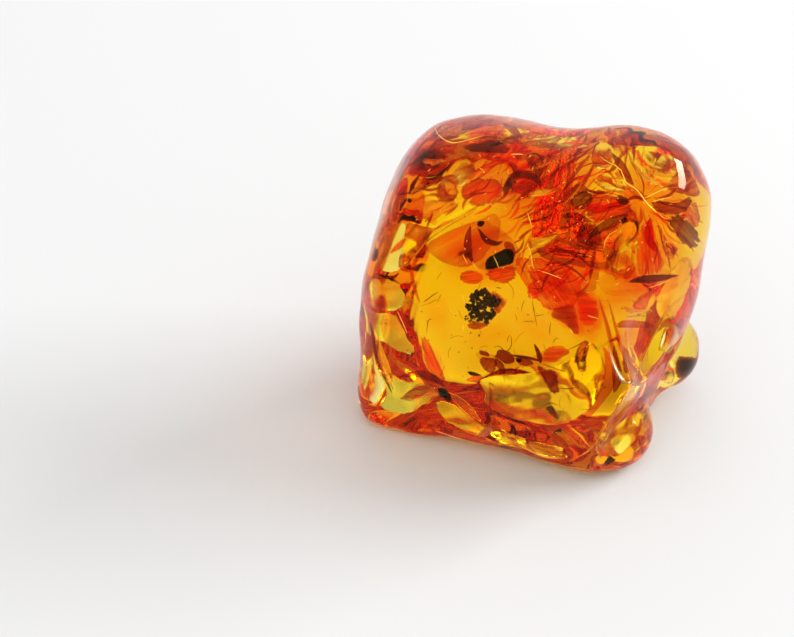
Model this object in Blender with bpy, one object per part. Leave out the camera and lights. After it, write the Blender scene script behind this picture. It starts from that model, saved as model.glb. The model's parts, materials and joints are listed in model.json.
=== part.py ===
"""Raw amber piece: one polished lump of clear amber that stands on a small flat, with three scraps sealed in it.

The lump is a signed distance, in millimetres, made of named masses that swell into each other, faces that plane them
off, and hollows that dish them. An icosphere's points are sent out along rays from the heart of the lump until they
reach the surface. The clear solid is parted along a leaning plane that runs through the three scraps, so that each
scrap lies in a pocket that opens on the parting.
"""

from collections import namedtuple

import bmesh
import bpy
import numpy as np
from mathutils import Matrix, Vector

# ---------------------------------------------------------------- driving dimensions, in millimetres

MM = 0.001                  # one millimetre, in Blender's metres

GAP = 0.3                   # clearance between the two halves, and round each scrap in its pocket
HEART = (2.5, 1.5, 12.5)    # every ray to the surface starts here
FIRST_STEP = 2.0            # rays are searched from here
LAST_STEP = 34.0            # to here
STEPS = 120
HALVINGS = 20
LUMP_SUBDIVISIONS = 5       # 5120 triangles
FLAT_SNAP = 0.03            # points this near the ground are on the flat
SHARP_ANGLE = 35.0          # degrees
FAR_OUTSIDE = 1000.0        # the distance before the first mass is added

# A mass adds an ellipsoid, a hollow takes one away, and a face keeps what is behind a plane.
# turn is about the vertical and tilt about the turned sideways axis, in degrees.
# blend is how wide the seam with what is there already is smoothed.
Mass = namedtuple("Mass", "name centre radii blend turn tilt", defaults=(0.0, 0.0))
Hollow = namedtuple("Hollow", "name centre radii blend turn tilt", defaults=(0.0, 0.0))
Face = namedtuple("Face", "name normal through blend")

FORM = [
    Mass("main mass", (0.0, 3.5, 16.5), (18.3, 15.5, 18.0), 0.1, turn=20.0),
    Mass("bulb", (13.8, 6.0, 25.5), (8.7, 9.0, 9.1), 7.0),
    Mass("left shoulder", (-4.4, 8.5, 24.7), (10.8, 10.0, 9.0), 5.5),
    Mass("right flank", (12.8, 3.5, 16.5), (8.8, 8.0, 11.5), 3.0),
    Mass("prow", (9.0, -3.0, 7.5), (11.0, 11.0, 11.5), 3.0),
    Mass("left foot", (-12.3, -1.4, 3.4), (5.6, 5.6, 7.0), 2.6),
    Mass("front sill", (-3.0, -1.8, 4.0), (15.0, 6.6, 5.5), 3.0, turn=-18.0),
    Mass("left shin", (-13.2, 1.0, 10.0), (4.4, 6.0, 7.0), 2.0),
    Face("left slope", (-0.93, 0.12, 0.35), (-15.6, 6.0, 25.0), 3.5),
    Face("sill face", (-0.34, -0.94, 0.0), (10.4, -13.4, 0.0), 1.2),
    Face("window face", (-0.22, -0.84, 0.50), (-2.0, -10.8, 13.0), 4.0),
    Face("long ridge", (0.80, -0.55, -0.20), (9.0, -12.4, 1.0), 0.7),
    Mass("foot lobe", (10.4, -6.4, 2.9), (6.0, 6.2, 5.0), 1.2, turn=40.0),
    Mass("knob", (17.7, 4.4, 5.5), (5.1, 5.0, 4.9), 1.4),
    Hollow("window bowl", (-4.0, -19.5, 21.9), (14.0, 14.0, 14.0), 2.0),
    Hollow("scoop", (17.9, -9.3, 16.4), (5.6, 5.2, 9.0), 0.5, tilt=24.0),
    Hollow("side facet", (22.5, -7.0, 8.0), (6.5, 6.0, 7.0), 0.8),
    Hollow("left hollow", (-23.2, -5.5, 17.0), (7.0, 9.0, 9.0), 2.0),
    Hollow("back hollow", (-6.0, 27.0, 12.0), (9.0, 9.5, 8.0), 1.5),
    Hollow("back scoop", (11.5, 22.0, 17.0), (7.0, 8.0, 10.0), 1.0, tilt=-20.0),
    Face("ground flat", (0.0, 0.0, -1.0), (0.0, 0.0, 0.0), 1.4),
]

# The parting plane leans back with the window face, about 4 mm behind it.
PARTING_POINT = (-3.8, -1.8, 17.7)
PARTING_NORMAL = (-0.15, -0.92, 0.36)
BLOCK_SIZE = 70.0           # the block that keeps one side of the parting

# The scraps lie in the parting plane. Their places are across and up that plane from its point.
FLAKE_THICKNESS = 1.3
FLAKE_OUTLINE = [
    (-0.7, 2.2),
    (0.4, 1.8),
    (2.5, 0.7),
    (2.3, -0.2),
    (1.2, -1.1),
    (0.4, -1.6),
    (-0.2, -2.4),
    (-2.0, -2.2),
    (-2.4, -1.2),
    (-1.8, -0.3),
    (-1.9, 0.6),
    (-1.3, 1.5),
]
FLAKE_PLACE = (0.5, 0.0)

CRUMB_PLACE = (2.5, 6.0)
CRUMB_RADII = (1.45, 0.65, 0.55)
CRUMB_BOW = 0.35            # how far its ends droop
CRUMB_TURN = 18.0           # degrees
CRUMB_SUBDIVISIONS = 3      # 320 triangles

# Each stop of the plant scrap is (across, up, half width).
SCRAP_PATH = [
    (0.2, -5.6, 0.20),
    (1.0, -6.2, 0.75),
    (1.9, -6.9, 0.90),
    (3.2, -6.6, 0.70),
    (4.4, -6.2, 0.35),
    (5.8, -6.4, 0.45),
    (7.4, -6.9, 0.35),
    (8.5, -8.0, 0.80),
    (9.2, -9.2, 0.60),
    (9.8, -10.1, 0.18),
]
SCRAP_FLATNESS = 0.5        # thickness over width
SCRAP_SIDES = 2             # bevel resolution: 8 sides

AMBER_COLOUR = (0.93, 0.52, 0.04, 1.0)
BARK_COLOUR = (0.045, 0.022, 0.012, 1.0)
CRUMB_COLOUR = (0.012, 0.009, 0.008, 1.0)
PLANT_COLOUR = (0.45, 0.12, 0.015, 1.0)
AMBER_IOR = 1.54


# ---------------------------------------------------------------- the scene and its materials

def clear_scene():
    """Removes every object, so that the script starts from nothing."""
    for thing in list(bpy.data.objects):
        bpy.data.objects.remove(thing, do_unlink=True)


def new_collection(name):
    collection = bpy.data.collections.new(name)
    bpy.context.scene.collection.children.link(collection)
    return collection


def material(name, colour, roughness, transmission=0.0, ior=1.5):
    """A Principled material with one colour. Metallic stays 0: nothing here is metal."""
    made = bpy.data.materials.new(name)
    made.use_nodes = True
    shader = made.node_tree.nodes["Principled BSDF"]
    shader.inputs["Base Color"].default_value = colour
    shader.inputs["Roughness"].default_value = roughness
    shader.inputs["Metallic"].default_value = 0.0
    shader.inputs["Transmission Weight"].default_value = transmission
    shader.inputs["IOR"].default_value = ior
    made.diffuse_color = colour
    return made


def add_object(name, mesh, collection, finish=None):
    thing = bpy.data.objects.new(name, mesh)
    collection.objects.link(thing)
    if finish:
        mesh.materials.append(finish)
    return thing


def make_cutter(thing):
    """A cutter shapes other pieces and is no piece itself."""
    thing.hide_render = True
    thing.display_type = "WIRE"
    return thing


# ---------------------------------------------------------------- the form of the lump

def smooth_union(a, b, blend):
    """The nearer of two distances, rounded off where they are within blend of each other."""
    near = np.maximum(blend - np.abs(a - b), 0.0) / blend
    return np.minimum(a, b) - near * near * blend / 4


def smooth_cut(a, b, blend):
    """What both distances hold, with the same rounding."""
    return -smooth_union(-a, -b, blend)


def ellipsoid_distance(points, shape):
    """How far each point is outside a turned and tilted ellipsoid, good near its surface."""
    turn = np.radians(shape.turn)
    tilt = np.radians(shape.tilt)
    local = points - np.array(shape.centre)
    x = np.cos(turn) * local[:, 0] + np.sin(turn) * local[:, 1]
    y = np.cos(turn) * local[:, 1] - np.sin(turn) * local[:, 0]
    z = local[:, 2]
    turned = np.stack([np.cos(tilt) * x + np.sin(tilt) * z, y, np.cos(tilt) * z - np.sin(tilt) * x], axis=1)
    radii = np.array(shape.radii)
    reach = np.linalg.norm(turned / radii, axis=1)
    slope = np.linalg.norm(turned / radii ** 2, axis=1)
    return reach * (reach - 1.0) / np.maximum(slope, 1e-9)


def face_distance(points, face):
    normal = np.array(face.normal)
    normal /= np.linalg.norm(normal)
    return (points - np.array(face.through)) @ normal


def lump_distance(points):
    """The signed distance of the whole lump: negative inside, positive outside."""
    distance = np.full(len(points), FAR_OUTSIDE)
    for shape in FORM:
        if isinstance(shape, Mass):
            distance = smooth_union(distance, ellipsoid_distance(points, shape), shape.blend)
        elif isinstance(shape, Hollow):
            distance = smooth_cut(distance, -ellipsoid_distance(points, shape), shape.blend)
        else:
            distance = smooth_cut(distance, face_distance(points, shape), shape.blend)
    return distance


def reach_surface(directions):
    """Walks every ray outwards from the heart to its first crossing, then narrows that down by halving."""
    heart = np.array(HEART)
    stops = np.linspace(FIRST_STEP, LAST_STEP, STEPS)
    stride = stops[1] - stops[0]
    near = np.full(len(directions), FIRST_STEP)
    crossed = np.zeros(len(directions), dtype=bool)
    for stop in stops[1:]:
        outside = lump_distance(heart + directions * stop) > 0
        near[outside & ~crossed] = stop - stride
        crossed |= outside
    far = near + stride
    for _ in range(HALVINGS):
        middle = (near + far) / 2
        outside = lump_distance(heart + directions * middle[:, None]) > 0
        far = np.where(outside, middle, far)
        near = np.where(outside, near, middle)
    return heart + directions * near[:, None]


def lump_mesh():
    """An icosphere whose points are sent out to the surface of the lump."""
    shell = bmesh.new()
    bmesh.ops.create_icosphere(shell, subdivisions=LUMP_SUBDIVISIONS, radius=1.0)
    directions = np.array([point.co.normalized() for point in shell.verts])
    places = reach_surface(directions)
    places[np.abs(places[:, 2]) < FLAT_SNAP, 2] = 0.0
    for point, place in zip(shell.verts, places):
        point.co = place * MM
    mesh = bpy.data.meshes.new("amber_lump")
    shell.to_mesh(mesh)
    shell.free()
    mesh.shade_smooth()
    mesh.set_sharp_from_angle(angle=np.radians(SHARP_ANGLE))
    return mesh


# ---------------------------------------------------------------- the parting plane

def parting_frame():
    """A matrix whose X runs across the parting plane, Y up it and Z out of it, towards the window face."""
    out = Vector(PARTING_NORMAL).normalized()
    across = Vector((0.0, 0.0, 1.0)).cross(out).normalized()
    up = out.cross(across)
    frame = Matrix((across, up, out)).transposed().to_4x4()
    frame.translation = Vector(PARTING_POINT) * MM
    return frame


def parting_block(name, side, collection):
    """A big block on one side of the parting plane, half a gap clear of it. side is 1 in front and -1 behind."""
    shell = bmesh.new()
    bmesh.ops.create_cube(shell, size=BLOCK_SIZE * MM)
    shift = Matrix.Translation((0.0, 0.0, side * (BLOCK_SIZE + GAP) / 2 * MM))
    shell.transform(parting_frame() @ shift)
    mesh = bpy.data.meshes.new(name)
    shell.to_mesh(mesh)
    shell.free()
    return make_cutter(add_object(name, mesh, collection))


def place_on_parting(mesh, across=0.0, up=0.0, turn=0.0):
    """Moves a mesh that was made flat at the origin to its place on the parting plane."""
    shift = Matrix.Translation((across * MM, up * MM, 0.0))
    mesh.transform(parting_frame() @ shift @ Matrix.Rotation(np.radians(turn), 4, "Z"))
    mesh.update()


# ---------------------------------------------------------------- the scraps and their pockets

def mesh_from_curve(name, curve):
    """The evaluated mesh of a curve, with the points of its caps welded to its sides."""
    guide = bpy.data.objects.new(name + "_guide", curve)
    bpy.context.scene.collection.objects.link(guide)
    evaluated = guide.evaluated_get(bpy.context.evaluated_depsgraph_get())
    mesh = bpy.data.meshes.new_from_object(evaluated)
    mesh.name = name
    bpy.data.objects.remove(guide, do_unlink=True)
    shell = bmesh.new()
    shell.from_mesh(mesh)
    bmesh.ops.remove_doubles(shell, verts=shell.verts, dist=0.001 * MM)
    bmesh.ops.recalc_face_normals(shell, faces=shell.faces)
    shell.to_mesh(mesh)
    shell.free()
    return mesh


def flake_mesh(name, grow):
    """A flat jagged chip. grow widens it on every side, for its pocket."""
    outline = np.array(FLAKE_OUTLINE)
    reach = np.linalg.norm(outline, axis=1, keepdims=True)
    outline = outline * (1.0 + grow / reach.min())
    curve = bpy.data.curves.new(name, "CURVE")
    curve.dimensions = "2D"
    curve.fill_mode = "BOTH"
    curve.extrude = (FLAKE_THICKNESS / 2 + grow) * MM
    spline = curve.splines.new("POLY")
    spline.points.add(len(outline) - 1)
    spline.use_cyclic_u = True
    for point, (across, up) in zip(spline.points, outline):
        point.co = (across * MM, up * MM, 0.0, 1.0)
    mesh = mesh_from_curve(name, curve)
    place_on_parting(mesh, *FLAKE_PLACE)
    return mesh


def crumb_mesh(name, grow):
    """A small bean: an icosphere stretched to its radii, with its two ends drooping."""
    shell = bmesh.new()
    bmesh.ops.create_icosphere(shell, subdivisions=CRUMB_SUBDIVISIONS, radius=1.0)
    for point in shell.verts:
        droop = CRUMB_BOW * point.co.x ** 2
        stretched = [direction * (radius + grow) for direction, radius in zip(point.co, CRUMB_RADII)]
        point.co = Vector((stretched[0], stretched[1] - droop, stretched[2])) * MM
    mesh = bpy.data.meshes.new(name)
    shell.to_mesh(mesh)
    shell.free()
    place_on_parting(mesh, *CRUMB_PLACE, turn=CRUMB_TURN)
    mesh.shade_smooth()
    return mesh


def scrap_mesh(name, grow):
    """A flattened tube that swells and narrows along its path, like a chain of torn petals."""
    curve = bpy.data.curves.new(name, "CURVE")
    curve.dimensions = "3D"
    curve.bevel_depth = 1.0 * MM
    curve.bevel_resolution = SCRAP_SIDES
    curve.use_fill_caps = True
    spline = curve.splines.new("POLY")
    spline.points.add(len(SCRAP_PATH) - 1)
    for point, (across, up, half_width) in zip(spline.points, SCRAP_PATH):
        point.co = (across * MM, up * MM, 0.0, 1.0)
        point.radius = half_width + grow / SCRAP_FLATNESS
    mesh = mesh_from_curve(name, curve)
    mesh.transform(Matrix.Diagonal((1.0, 1.0, SCRAP_FLATNESS, 1.0)))
    place_on_parting(mesh)
    mesh.shade_smooth()
    return mesh


# ---------------------------------------------------------------- the whole object

def keep_side(thing, block):
    """Keeps what the block holds of the lump."""
    cut = thing.modifiers.new("keep " + block.name, "BOOLEAN")
    cut.operation = "INTERSECT"
    cut.solver = "EXACT"
    cut.object = block


def cut_pocket(thing, pocket):
    cut = thing.modifiers.new("cut " + pocket.name, "BOOLEAN")
    cut.operation = "DIFFERENCE"
    cut.solver = "EXACT"
    cut.object = pocket


def build():
    clear_scene()
    pieces = new_collection("raw_amber_piece")
    cutters = new_collection("cutters")

    amber = material("clear_amber", AMBER_COLOUR, 0.03, transmission=1.0, ior=AMBER_IOR)
    bark = material("charred_bark", BARK_COLOUR, 0.8)
    crumb = material("black_resin", CRUMB_COLOUR, 0.45)
    plant = material("brown_petal", PLANT_COLOUR, 0.7)

    add_object("bark_flake", flake_mesh("bark_flake", 0.0), pieces, bark)
    add_object("resin_crumb", crumb_mesh("resin_crumb", 0.0), pieces, crumb)
    add_object("plant_scrap", scrap_mesh("plant_scrap", 0.0), pieces, plant)

    pocket_meshes = [
        flake_mesh("flake_pocket", GAP),
        crumb_mesh("crumb_pocket", GAP),
        scrap_mesh("scrap_pocket", GAP),
    ]
    pockets = [make_cutter(add_object(mesh.name, mesh, cutters)) for mesh in pocket_meshes]

    lump = lump_mesh()
    lump.materials.append(amber)
    for name, side in (("amber_front", 1), ("amber_back", -1)):
        half = add_object(name, lump, pieces)
        keep_side(half, parting_block(name + "_block", side, cutters))
        for pocket in pockets:
            cut_pocket(half, pocket)


build()
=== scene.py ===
# %% [markdown]
# # A raw amber piece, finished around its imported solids
#
# The real thing is a lump of Baltic amber, tumbled and polished, about 41 mm wide. It is clear and golden, and its
# life is inside: a bark flake, plant scraps, and the curved cracks that collectors call sun spangles. The packed
# model holds the lump as two halves, and three scraps in pockets. This script swaps the halves for one fine clear
# body and draws everything that lives in it.
#
# Lengths in this file are in millimetres up to the moment a mesh is made, because the details are millimetres small.

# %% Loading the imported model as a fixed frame
import json
from collections import namedtuple

import bpy
import numpy as np
from mathutils import Matrix, Vector

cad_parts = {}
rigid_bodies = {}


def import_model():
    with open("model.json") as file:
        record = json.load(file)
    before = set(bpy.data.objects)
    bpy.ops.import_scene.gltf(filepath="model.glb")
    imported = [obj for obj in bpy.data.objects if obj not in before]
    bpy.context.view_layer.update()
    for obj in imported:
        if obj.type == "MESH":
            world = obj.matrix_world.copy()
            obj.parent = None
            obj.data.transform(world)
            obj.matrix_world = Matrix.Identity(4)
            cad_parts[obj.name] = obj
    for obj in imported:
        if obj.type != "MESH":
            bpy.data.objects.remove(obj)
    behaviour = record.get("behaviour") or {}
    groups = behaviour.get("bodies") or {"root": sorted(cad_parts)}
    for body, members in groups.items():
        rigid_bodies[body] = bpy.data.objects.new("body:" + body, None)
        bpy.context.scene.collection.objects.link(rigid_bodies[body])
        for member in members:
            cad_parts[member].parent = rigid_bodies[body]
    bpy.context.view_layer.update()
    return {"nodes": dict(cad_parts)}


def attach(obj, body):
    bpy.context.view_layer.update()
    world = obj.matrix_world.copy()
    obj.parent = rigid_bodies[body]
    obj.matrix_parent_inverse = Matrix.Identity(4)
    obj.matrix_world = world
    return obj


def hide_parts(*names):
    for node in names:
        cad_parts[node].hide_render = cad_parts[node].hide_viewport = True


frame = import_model()

MM = 0.001
SCENE = bpy.context.scene
SEED = 41
dice = np.random.default_rng(SEED)


print("packed nodes:", sorted(frame["nodes"]))

# %% [markdown]
# ## The lump's form
#
# A tumbled lump has no straight edge to measure, so it could be sculpted by hand or grown from a metaball. Here it is
# a signed distance: masses that swell into each other, faces that plane them off and hollows that dish them. Every
# bump has a name and a size in millimetres, and the same list makes the coarse solid and this fine one.

# %% The named masses, faces and hollows
Mass = namedtuple("Mass", "name centre radii blend turn tilt", defaults=(0.0, 0.0))
Hollow = namedtuple("Hollow", "name centre radii blend turn tilt", defaults=(0.0, 0.0))
Face = namedtuple("Face", "name normal through blend")

FORM = [
    Mass("main mass", (0.0, 3.5, 16.5), (18.3, 15.5, 18.0), 0.1, turn=20.0),
    Mass("bulb", (13.8, 6.0, 25.5), (8.7, 9.0, 9.1), 7.0),
    Mass("left shoulder", (-4.4, 8.5, 24.7), (10.8, 10.0, 9.0), 5.5),
    Mass("right flank", (12.8, 3.5, 16.5), (8.8, 8.0, 11.5), 3.0),
    Mass("prow", (9.0, -3.0, 7.5), (11.0, 11.0, 11.5), 3.0),
    Mass("left foot", (-12.3, -1.4, 3.4), (5.6, 5.6, 7.0), 2.6),
    Mass("front sill", (-3.0, -1.8, 4.0), (15.0, 6.6, 5.5), 3.0, turn=-18.0),
    Mass("left shin", (-13.2, 1.0, 10.0), (4.4, 6.0, 7.0), 2.0),
    Face("left slope", (-0.93, 0.12, 0.35), (-15.6, 6.0, 25.0), 3.5),
    Face("sill face", (-0.34, -0.94, 0.0), (10.4, -13.4, 0.0), 1.2),
    Face("window face", (-0.22, -0.84, 0.50), (-2.0, -10.8, 13.0), 4.0),
    Face("long ridge", (0.80, -0.55, -0.20), (9.0, -12.4, 1.0), 0.7),
    Mass("foot lobe", (10.4, -6.4, 2.9), (6.0, 6.2, 5.0), 1.2, turn=40.0),
    Mass("knob", (17.7, 4.4, 5.5), (5.1, 5.0, 4.9), 1.4),
    Hollow("window bowl", (-4.0, -19.5, 21.9), (14.0, 14.0, 14.0), 2.0),
    Hollow("scoop", (17.9, -9.3, 16.4), (5.6, 5.2, 9.0), 0.5, tilt=24.0),
    Hollow("side facet", (22.5, -7.0, 8.0), (6.5, 6.0, 7.0), 0.8),
    Hollow("left hollow", (-23.2, -5.5, 17.0), (7.0, 9.0, 9.0), 2.0),
    Hollow("back hollow", (-6.0, 27.0, 12.0), (9.0, 9.5, 8.0), 1.5),
    Hollow("back scoop", (11.5, 22.0, 17.0), (7.0, 8.0, 10.0), 1.0, tilt=-20.0),
    Face("ground flat", (0.0, 0.0, -1.0), (0.0, 0.0, 0.0), 1.4),
]
print(len(FORM), "masses, faces and hollows")

# %% The signed distance of the whole lump
FAR_OUTSIDE = 1000.0


def smooth_union(a, b, blend):
    """min(a, b), less blend/4 where a = b, falling off to nothing where they differ by blend."""
    near = np.maximum(blend - np.abs(a - b), 0.0) / blend
    return np.minimum(a, b) - near * near * blend / 4


def ellipsoid_distance(points, shape):
    """reach * (reach - 1) / slope, where reach is 1 on the ellipsoid and slope is how fast it grows."""
    turn = np.radians(shape.turn)
    tilt = np.radians(shape.tilt)
    local = points - np.array(shape.centre)
    x = np.cos(turn) * local[:, 0] + np.sin(turn) * local[:, 1]
    y = np.cos(turn) * local[:, 1] - np.sin(turn) * local[:, 0]
    z = local[:, 2]
    turned = np.stack([np.cos(tilt) * x + np.sin(tilt) * z, y, np.cos(tilt) * z - np.sin(tilt) * x], axis=1)
    radii = np.array(shape.radii)
    reach = np.linalg.norm(turned / radii, axis=1)
    slope = np.linalg.norm(turned / radii ** 2, axis=1)
    return reach * (reach - 1.0) / np.maximum(slope, 1e-9)


def face_distance(points, face):
    """Height above the plane through the face's point, square to its normal."""
    normal = np.array(face.normal) / np.linalg.norm(face.normal)
    return (points - np.array(face.through)) @ normal


def lump_distance(points):
    """Masses are joined, and hollows and faces cut, in the order of the list."""
    distance = np.full(len(points), FAR_OUTSIDE)
    for shape in FORM:
        if isinstance(shape, Mass):
            distance = smooth_union(distance, ellipsoid_distance(points, shape), shape.blend)
        elif isinstance(shape, Hollow):
            distance = -smooth_union(-distance, ellipsoid_distance(points, shape), shape.blend)
        else:
            distance = -smooth_union(-distance, -face_distance(points, shape), shape.blend)
    return distance


# %% [markdown]
# Tumbling leaves a skin that is smooth but never even. Three soft waves of different lengths, a few hundredths of a
# millimetre high, are enough to make what shines through it swim. They fade out towards the ground flat, which has to
# stay flat.

# %% The polish waves
WAVES = [(7.3, 0.055), (3.9, 0.016), (2.1, 0.004)]       # (wavelength, height)


def relief(points):
    """A sum of sine products along three skewed axes, weaker in front, faded out over the lowest 2 mm."""
    total = np.zeros(len(points))
    for number, (length, height) in enumerate(WAVES):
        turn = 0.9 + 1.3 * number
        a = points @ np.array([np.cos(turn), np.sin(turn), 0.4])
        b = points @ np.array([-np.sin(turn), 0.5, np.cos(turn)])
        c = points @ np.array([0.3, -np.cos(turn), 0.8])
        k = 2 * np.pi / length
        total += height * np.sin(k * a + turn) * np.sin(k * b) + 0.5 * height * np.sin(k * c)
    behind = 0.4 + 0.6 * np.clip((points[:, 1] + 2.0) / 10.0, 0.0, 1.0)
    return total * behind * np.clip(points[:, 2] / 2.0 - 0.2, 0.0, 1.0)


def skin_distance(points):
    """The lump with its polish waves."""
    return lump_distance(points) - relief(points)


print("polish waves up to", sum(height for _, height in WAVES) * 1.5, "mm")

# %% [markdown]
# ## Reaching the surface
#
# The body is a cube sphere: six square grids bent into a ball, so that no point of the mesh is a crowded pole. Each
# grid point is a direction from the heart of the lump, and it walks outwards by a share of the distance left. The
# last stretch is halved, which lands it on the surface to a thousandth of a millimetre.

# %% Cube sphere and the walk outwards
HEART = np.array([2.5, 1.5, 12.5])
SIDE = 112                               # squares along one edge of the cube
SHARE = 0.9                              # how much of the distance left one step of a walk takes
STEPS = 22
STRIDE = 0.15                            # a careful step of the last stretch, in millimetres
HALVINGS = 14
FIRST_REACH = 2.0
FLAT_WITHIN = 0.01                       # points this near the ground are set on it


def cube_sphere(count):
    """Six count by count grids of tan-spaced points on a cube, pushed out to a unit sphere and welded."""
    run = np.tan(np.linspace(-np.pi / 4, np.pi / 4, count + 1))
    u, v = np.meshgrid(run, run, indexing="ij")
    one = np.ones_like(u)
    sides = [(one, u, v), (-one, v, u), (v, one, u), (u, -one, v), (u, v, one), (v, u, -one)]
    points = np.concatenate([np.stack(side, -1).reshape(-1, 3) for side in sides])
    points /= np.linalg.norm(points, axis=1, keepdims=True)
    number = np.arange((count + 1) ** 2).reshape(count + 1, count + 1)
    quad = np.stack([number[:-1, :-1], number[1:, :-1], number[1:, 1:], number[:-1, 1:]], -1).reshape(-1, 4)
    quads = np.concatenate([quad + side * (count + 1) ** 2 for side in range(6)])
    _, first, weld = np.unique(np.round(points, 6), axis=0, return_index=True, return_inverse=True)
    return points[first], weld.reshape(-1)[quads]


def reach_surface(directions):
    """Steps of a share of the distance left, then strides to just outside, then halvings between the last two."""
    reach = np.full(len(directions), FIRST_REACH)
    for _ in range(STEPS):
        left = -skin_distance(HEART + directions * reach[:, None])
        reach += SHARE * np.maximum(left, 0.0)
    far = reach.copy()
    walking = np.arange(len(directions))
    while len(walking):
        far[walking] += STRIDE
        inside = skin_distance(HEART + directions[walking] * far[walking, None]) < 0
        reach[walking[inside]] = far[walking[inside]]
        walking = walking[inside]
    for _ in range(HALVINGS):
        middle = (reach + far) / 2
        outside = skin_distance(HEART + directions * middle[:, None]) > 0
        far = np.where(outside, middle, far)
        reach = np.where(outside, reach, middle)
    return HEART + directions * reach[:, None]


directions, body_quads = cube_sphere(SIDE)
body_points = reach_surface(directions)
body_points[np.abs(body_points[:, 2]) < FLAT_WITHIN, 2] = 0.0
print("body:", len(body_points), "points,", len(body_quads), "quads")

# %% [markdown]
# ## Finding places inside a clear stone
#
# What lies in amber isn't where it seems to be, because light bends at the polished skin. Places are given the way a
# gemmologist notes them: on a board laid in front of the stone, so many millimetres across and so many up. A line of
# sight runs from the eye through the board, bends at the skin by Snell's law, and goes in by the depth asked for.

# %% The board, the eye and the bent line of sight
LEAN = np.radians(40.0)                  # how far down the eye looks
AMBER_IOR = 1.54
ACROSS = np.array([1.0, 0.0, 0.0])
UP_BOARD = np.array([0.0, np.sin(LEAN), np.cos(LEAN)])
INWARD = np.array([0.0, np.cos(LEAN), -np.sin(LEAN)])
EYE_ASIDE = -13.44
EYE_UP = 10.62
EYE_BACK = 264.67
EYE = ACROSS * EYE_ASIDE + UP_BOARD * EYE_UP - INWARD * EYE_BACK
NEAR_REACH = 225.0                       # the line of sight starts its walk so far from the eye
LONGEST_STEP = 3.0
SLOPE_STEP = 0.01


def skin_normal(points):
    """The uphill direction of the signed distance, from differences over twice SLOPE_STEP."""
    slopes = [skin_distance(points + step) - skin_distance(points - step) for step in SLOPE_STEP * np.eye(3)]
    normal = np.stack(slopes, axis=1)
    return normal / np.linalg.norm(normal, axis=1, keepdims=True)


def seats(across, up, depth):
    """Where lines of sight through the board are, depth millimetres after they bend at the skin."""
    across, up, depth = np.broadcast_arrays(*[np.atleast_1d(np.asarray(v, float)) for v in (across, up, depth)])
    sight = across[:, None] * ACROSS + up[:, None] * UP_BOARD - EYE
    sight /= np.linalg.norm(sight, axis=1, keepdims=True)
    far = np.full(len(sight), NEAR_REACH)
    for _ in range(STEPS):
        far += np.clip(SHARE * lump_distance(EYE + sight * far[:, None]), 0.0, LONGEST_STEP)
    entry = EYE + sight * far[:, None]
    normal = skin_normal(entry)
    facing = -(sight * normal).sum(axis=1)
    bend = np.sqrt(1 - (1 - facing ** 2) / AMBER_IOR ** 2)
    inner = sight / AMBER_IOR + (facing / AMBER_IOR - bend)[:, None] * normal
    return entry + inner * depth[:, None]


def seat(across, up, depth):
    """One place, as three numbers."""
    return seats(across, up, depth)[0]


print("the eye is at", EYE.round(1), "mm; the middle of the window is at", seat(0.0, 8.0, 0.0).round(1))

# %% Staying under the skin, and reaching the parting
ROOM = 0.3                               # the least amber over anything inside, in millimetres
PARTING_POINT = np.array([-3.8, -1.8, 17.7])
PARTING_NORMAL = np.array([-0.15, -0.92, 0.36])


def tuck(points):
    """Points that have less than ROOM over them go down along the skin's normal until they have it."""
    points = np.array(points, float)
    for _ in range(4):
        short = skin_distance(points) + ROOM
        high = short > 0
        if not high.any():
            break
        points[high] -= skin_normal(points[high]) * short[high, None]
    return points


def depth_of_parting(across, up):
    """How far along the bent line of sight the plane of the scraps lies."""
    start, later = seat(across, up, 0.0), seat(across, up, 1.0)
    return float((PARTING_POINT - start) @ PARTING_NORMAL / ((later - start) @ PARTING_NORMAL))


print("the bark flake lies", round(depth_of_parting(-3.0, 11.8), 2), "mm deep")

# %% [markdown]
# ## Making meshes from grids
#
# Everything inside the stone is a patch, a ribbon or a strand. A patch is two shallow caps that share a rim: crack
# faces, bubbles and veils. A ribbon is a flat tube along a line: petals and crack edges. A strand is a round tube:
# fibres and hairs. All three are closed, with their ends drawn to a point, so each is a real thin body.

# %% Quads of a grid
def tube_quads(rings, around):
    """Quads of a grid that closes on itself round its second parameter, wound so that faces point outwards."""
    ring = np.arange(rings - 1)[:, None] * around
    step = np.arange(around)[None, :]
    after = (step + 1) % around
    corners = [ring + step, ring + after, ring + around + after, ring + around + step]
    return np.stack([np.broadcast_to(corner, (rings - 1, around)) for corner in corners], -1).reshape(-1, 4)


def smooth_path(stops, count, closed=False):
    """A Catmull-Rom curve through the stops, read at count even steps of its parameter."""
    stops = np.asarray(stops, float)
    if closed:
        padded = np.vstack([stops[-1:], stops, stops[:2]])
        t = np.linspace(0, len(stops), count, endpoint=False)
    else:
        padded = np.vstack([2 * stops[0] - stops[1], stops, 2 * stops[-1] - stops[-2]])
        t = np.linspace(0, len(stops) - 1, count)
    index = np.minimum(t.astype(int), len(padded) - 4)
    t = (t - index)[:, None]
    a, b, c, d = (padded[index + shift] for shift in range(4))
    return 0.5 * (2 * b + (c - a) * t + (2 * a - 5 * b + 4 * c - d) * t ** 2 + (3 * b - a - 3 * c + d) * t ** 3)


# %% [markdown]
# Colours are what a film lets through, as red, green, blue and how much it covers. A piece is shaded from its core
# colour to its rim colour, and across itself to a far colour.

# %% Colours and the piece that every builder returns
CLEAR = (1.0, 1.0, 1.0, 1.0)
HONEY = (0.98, 0.80, 0.50, 1.0)
ORANGE = (0.98, 0.56, 0.30, 1.0)
FLAME = (1.0, 0.22, 0.12, 1.0)
RUST = (0.84, 0.34, 0.15, 1.0)
RUSSET = (0.55, 0.15, 0.08, 1.0)
UMBER = (0.22, 0.07, 0.04, 1.0)
OLIVE = (0.40, 0.24, 0.05, 1.0)
SOOT = (0.02, 0.012, 0.01, 1.0)

Piece = namedtuple("Piece", "points quads tint grain")


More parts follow.
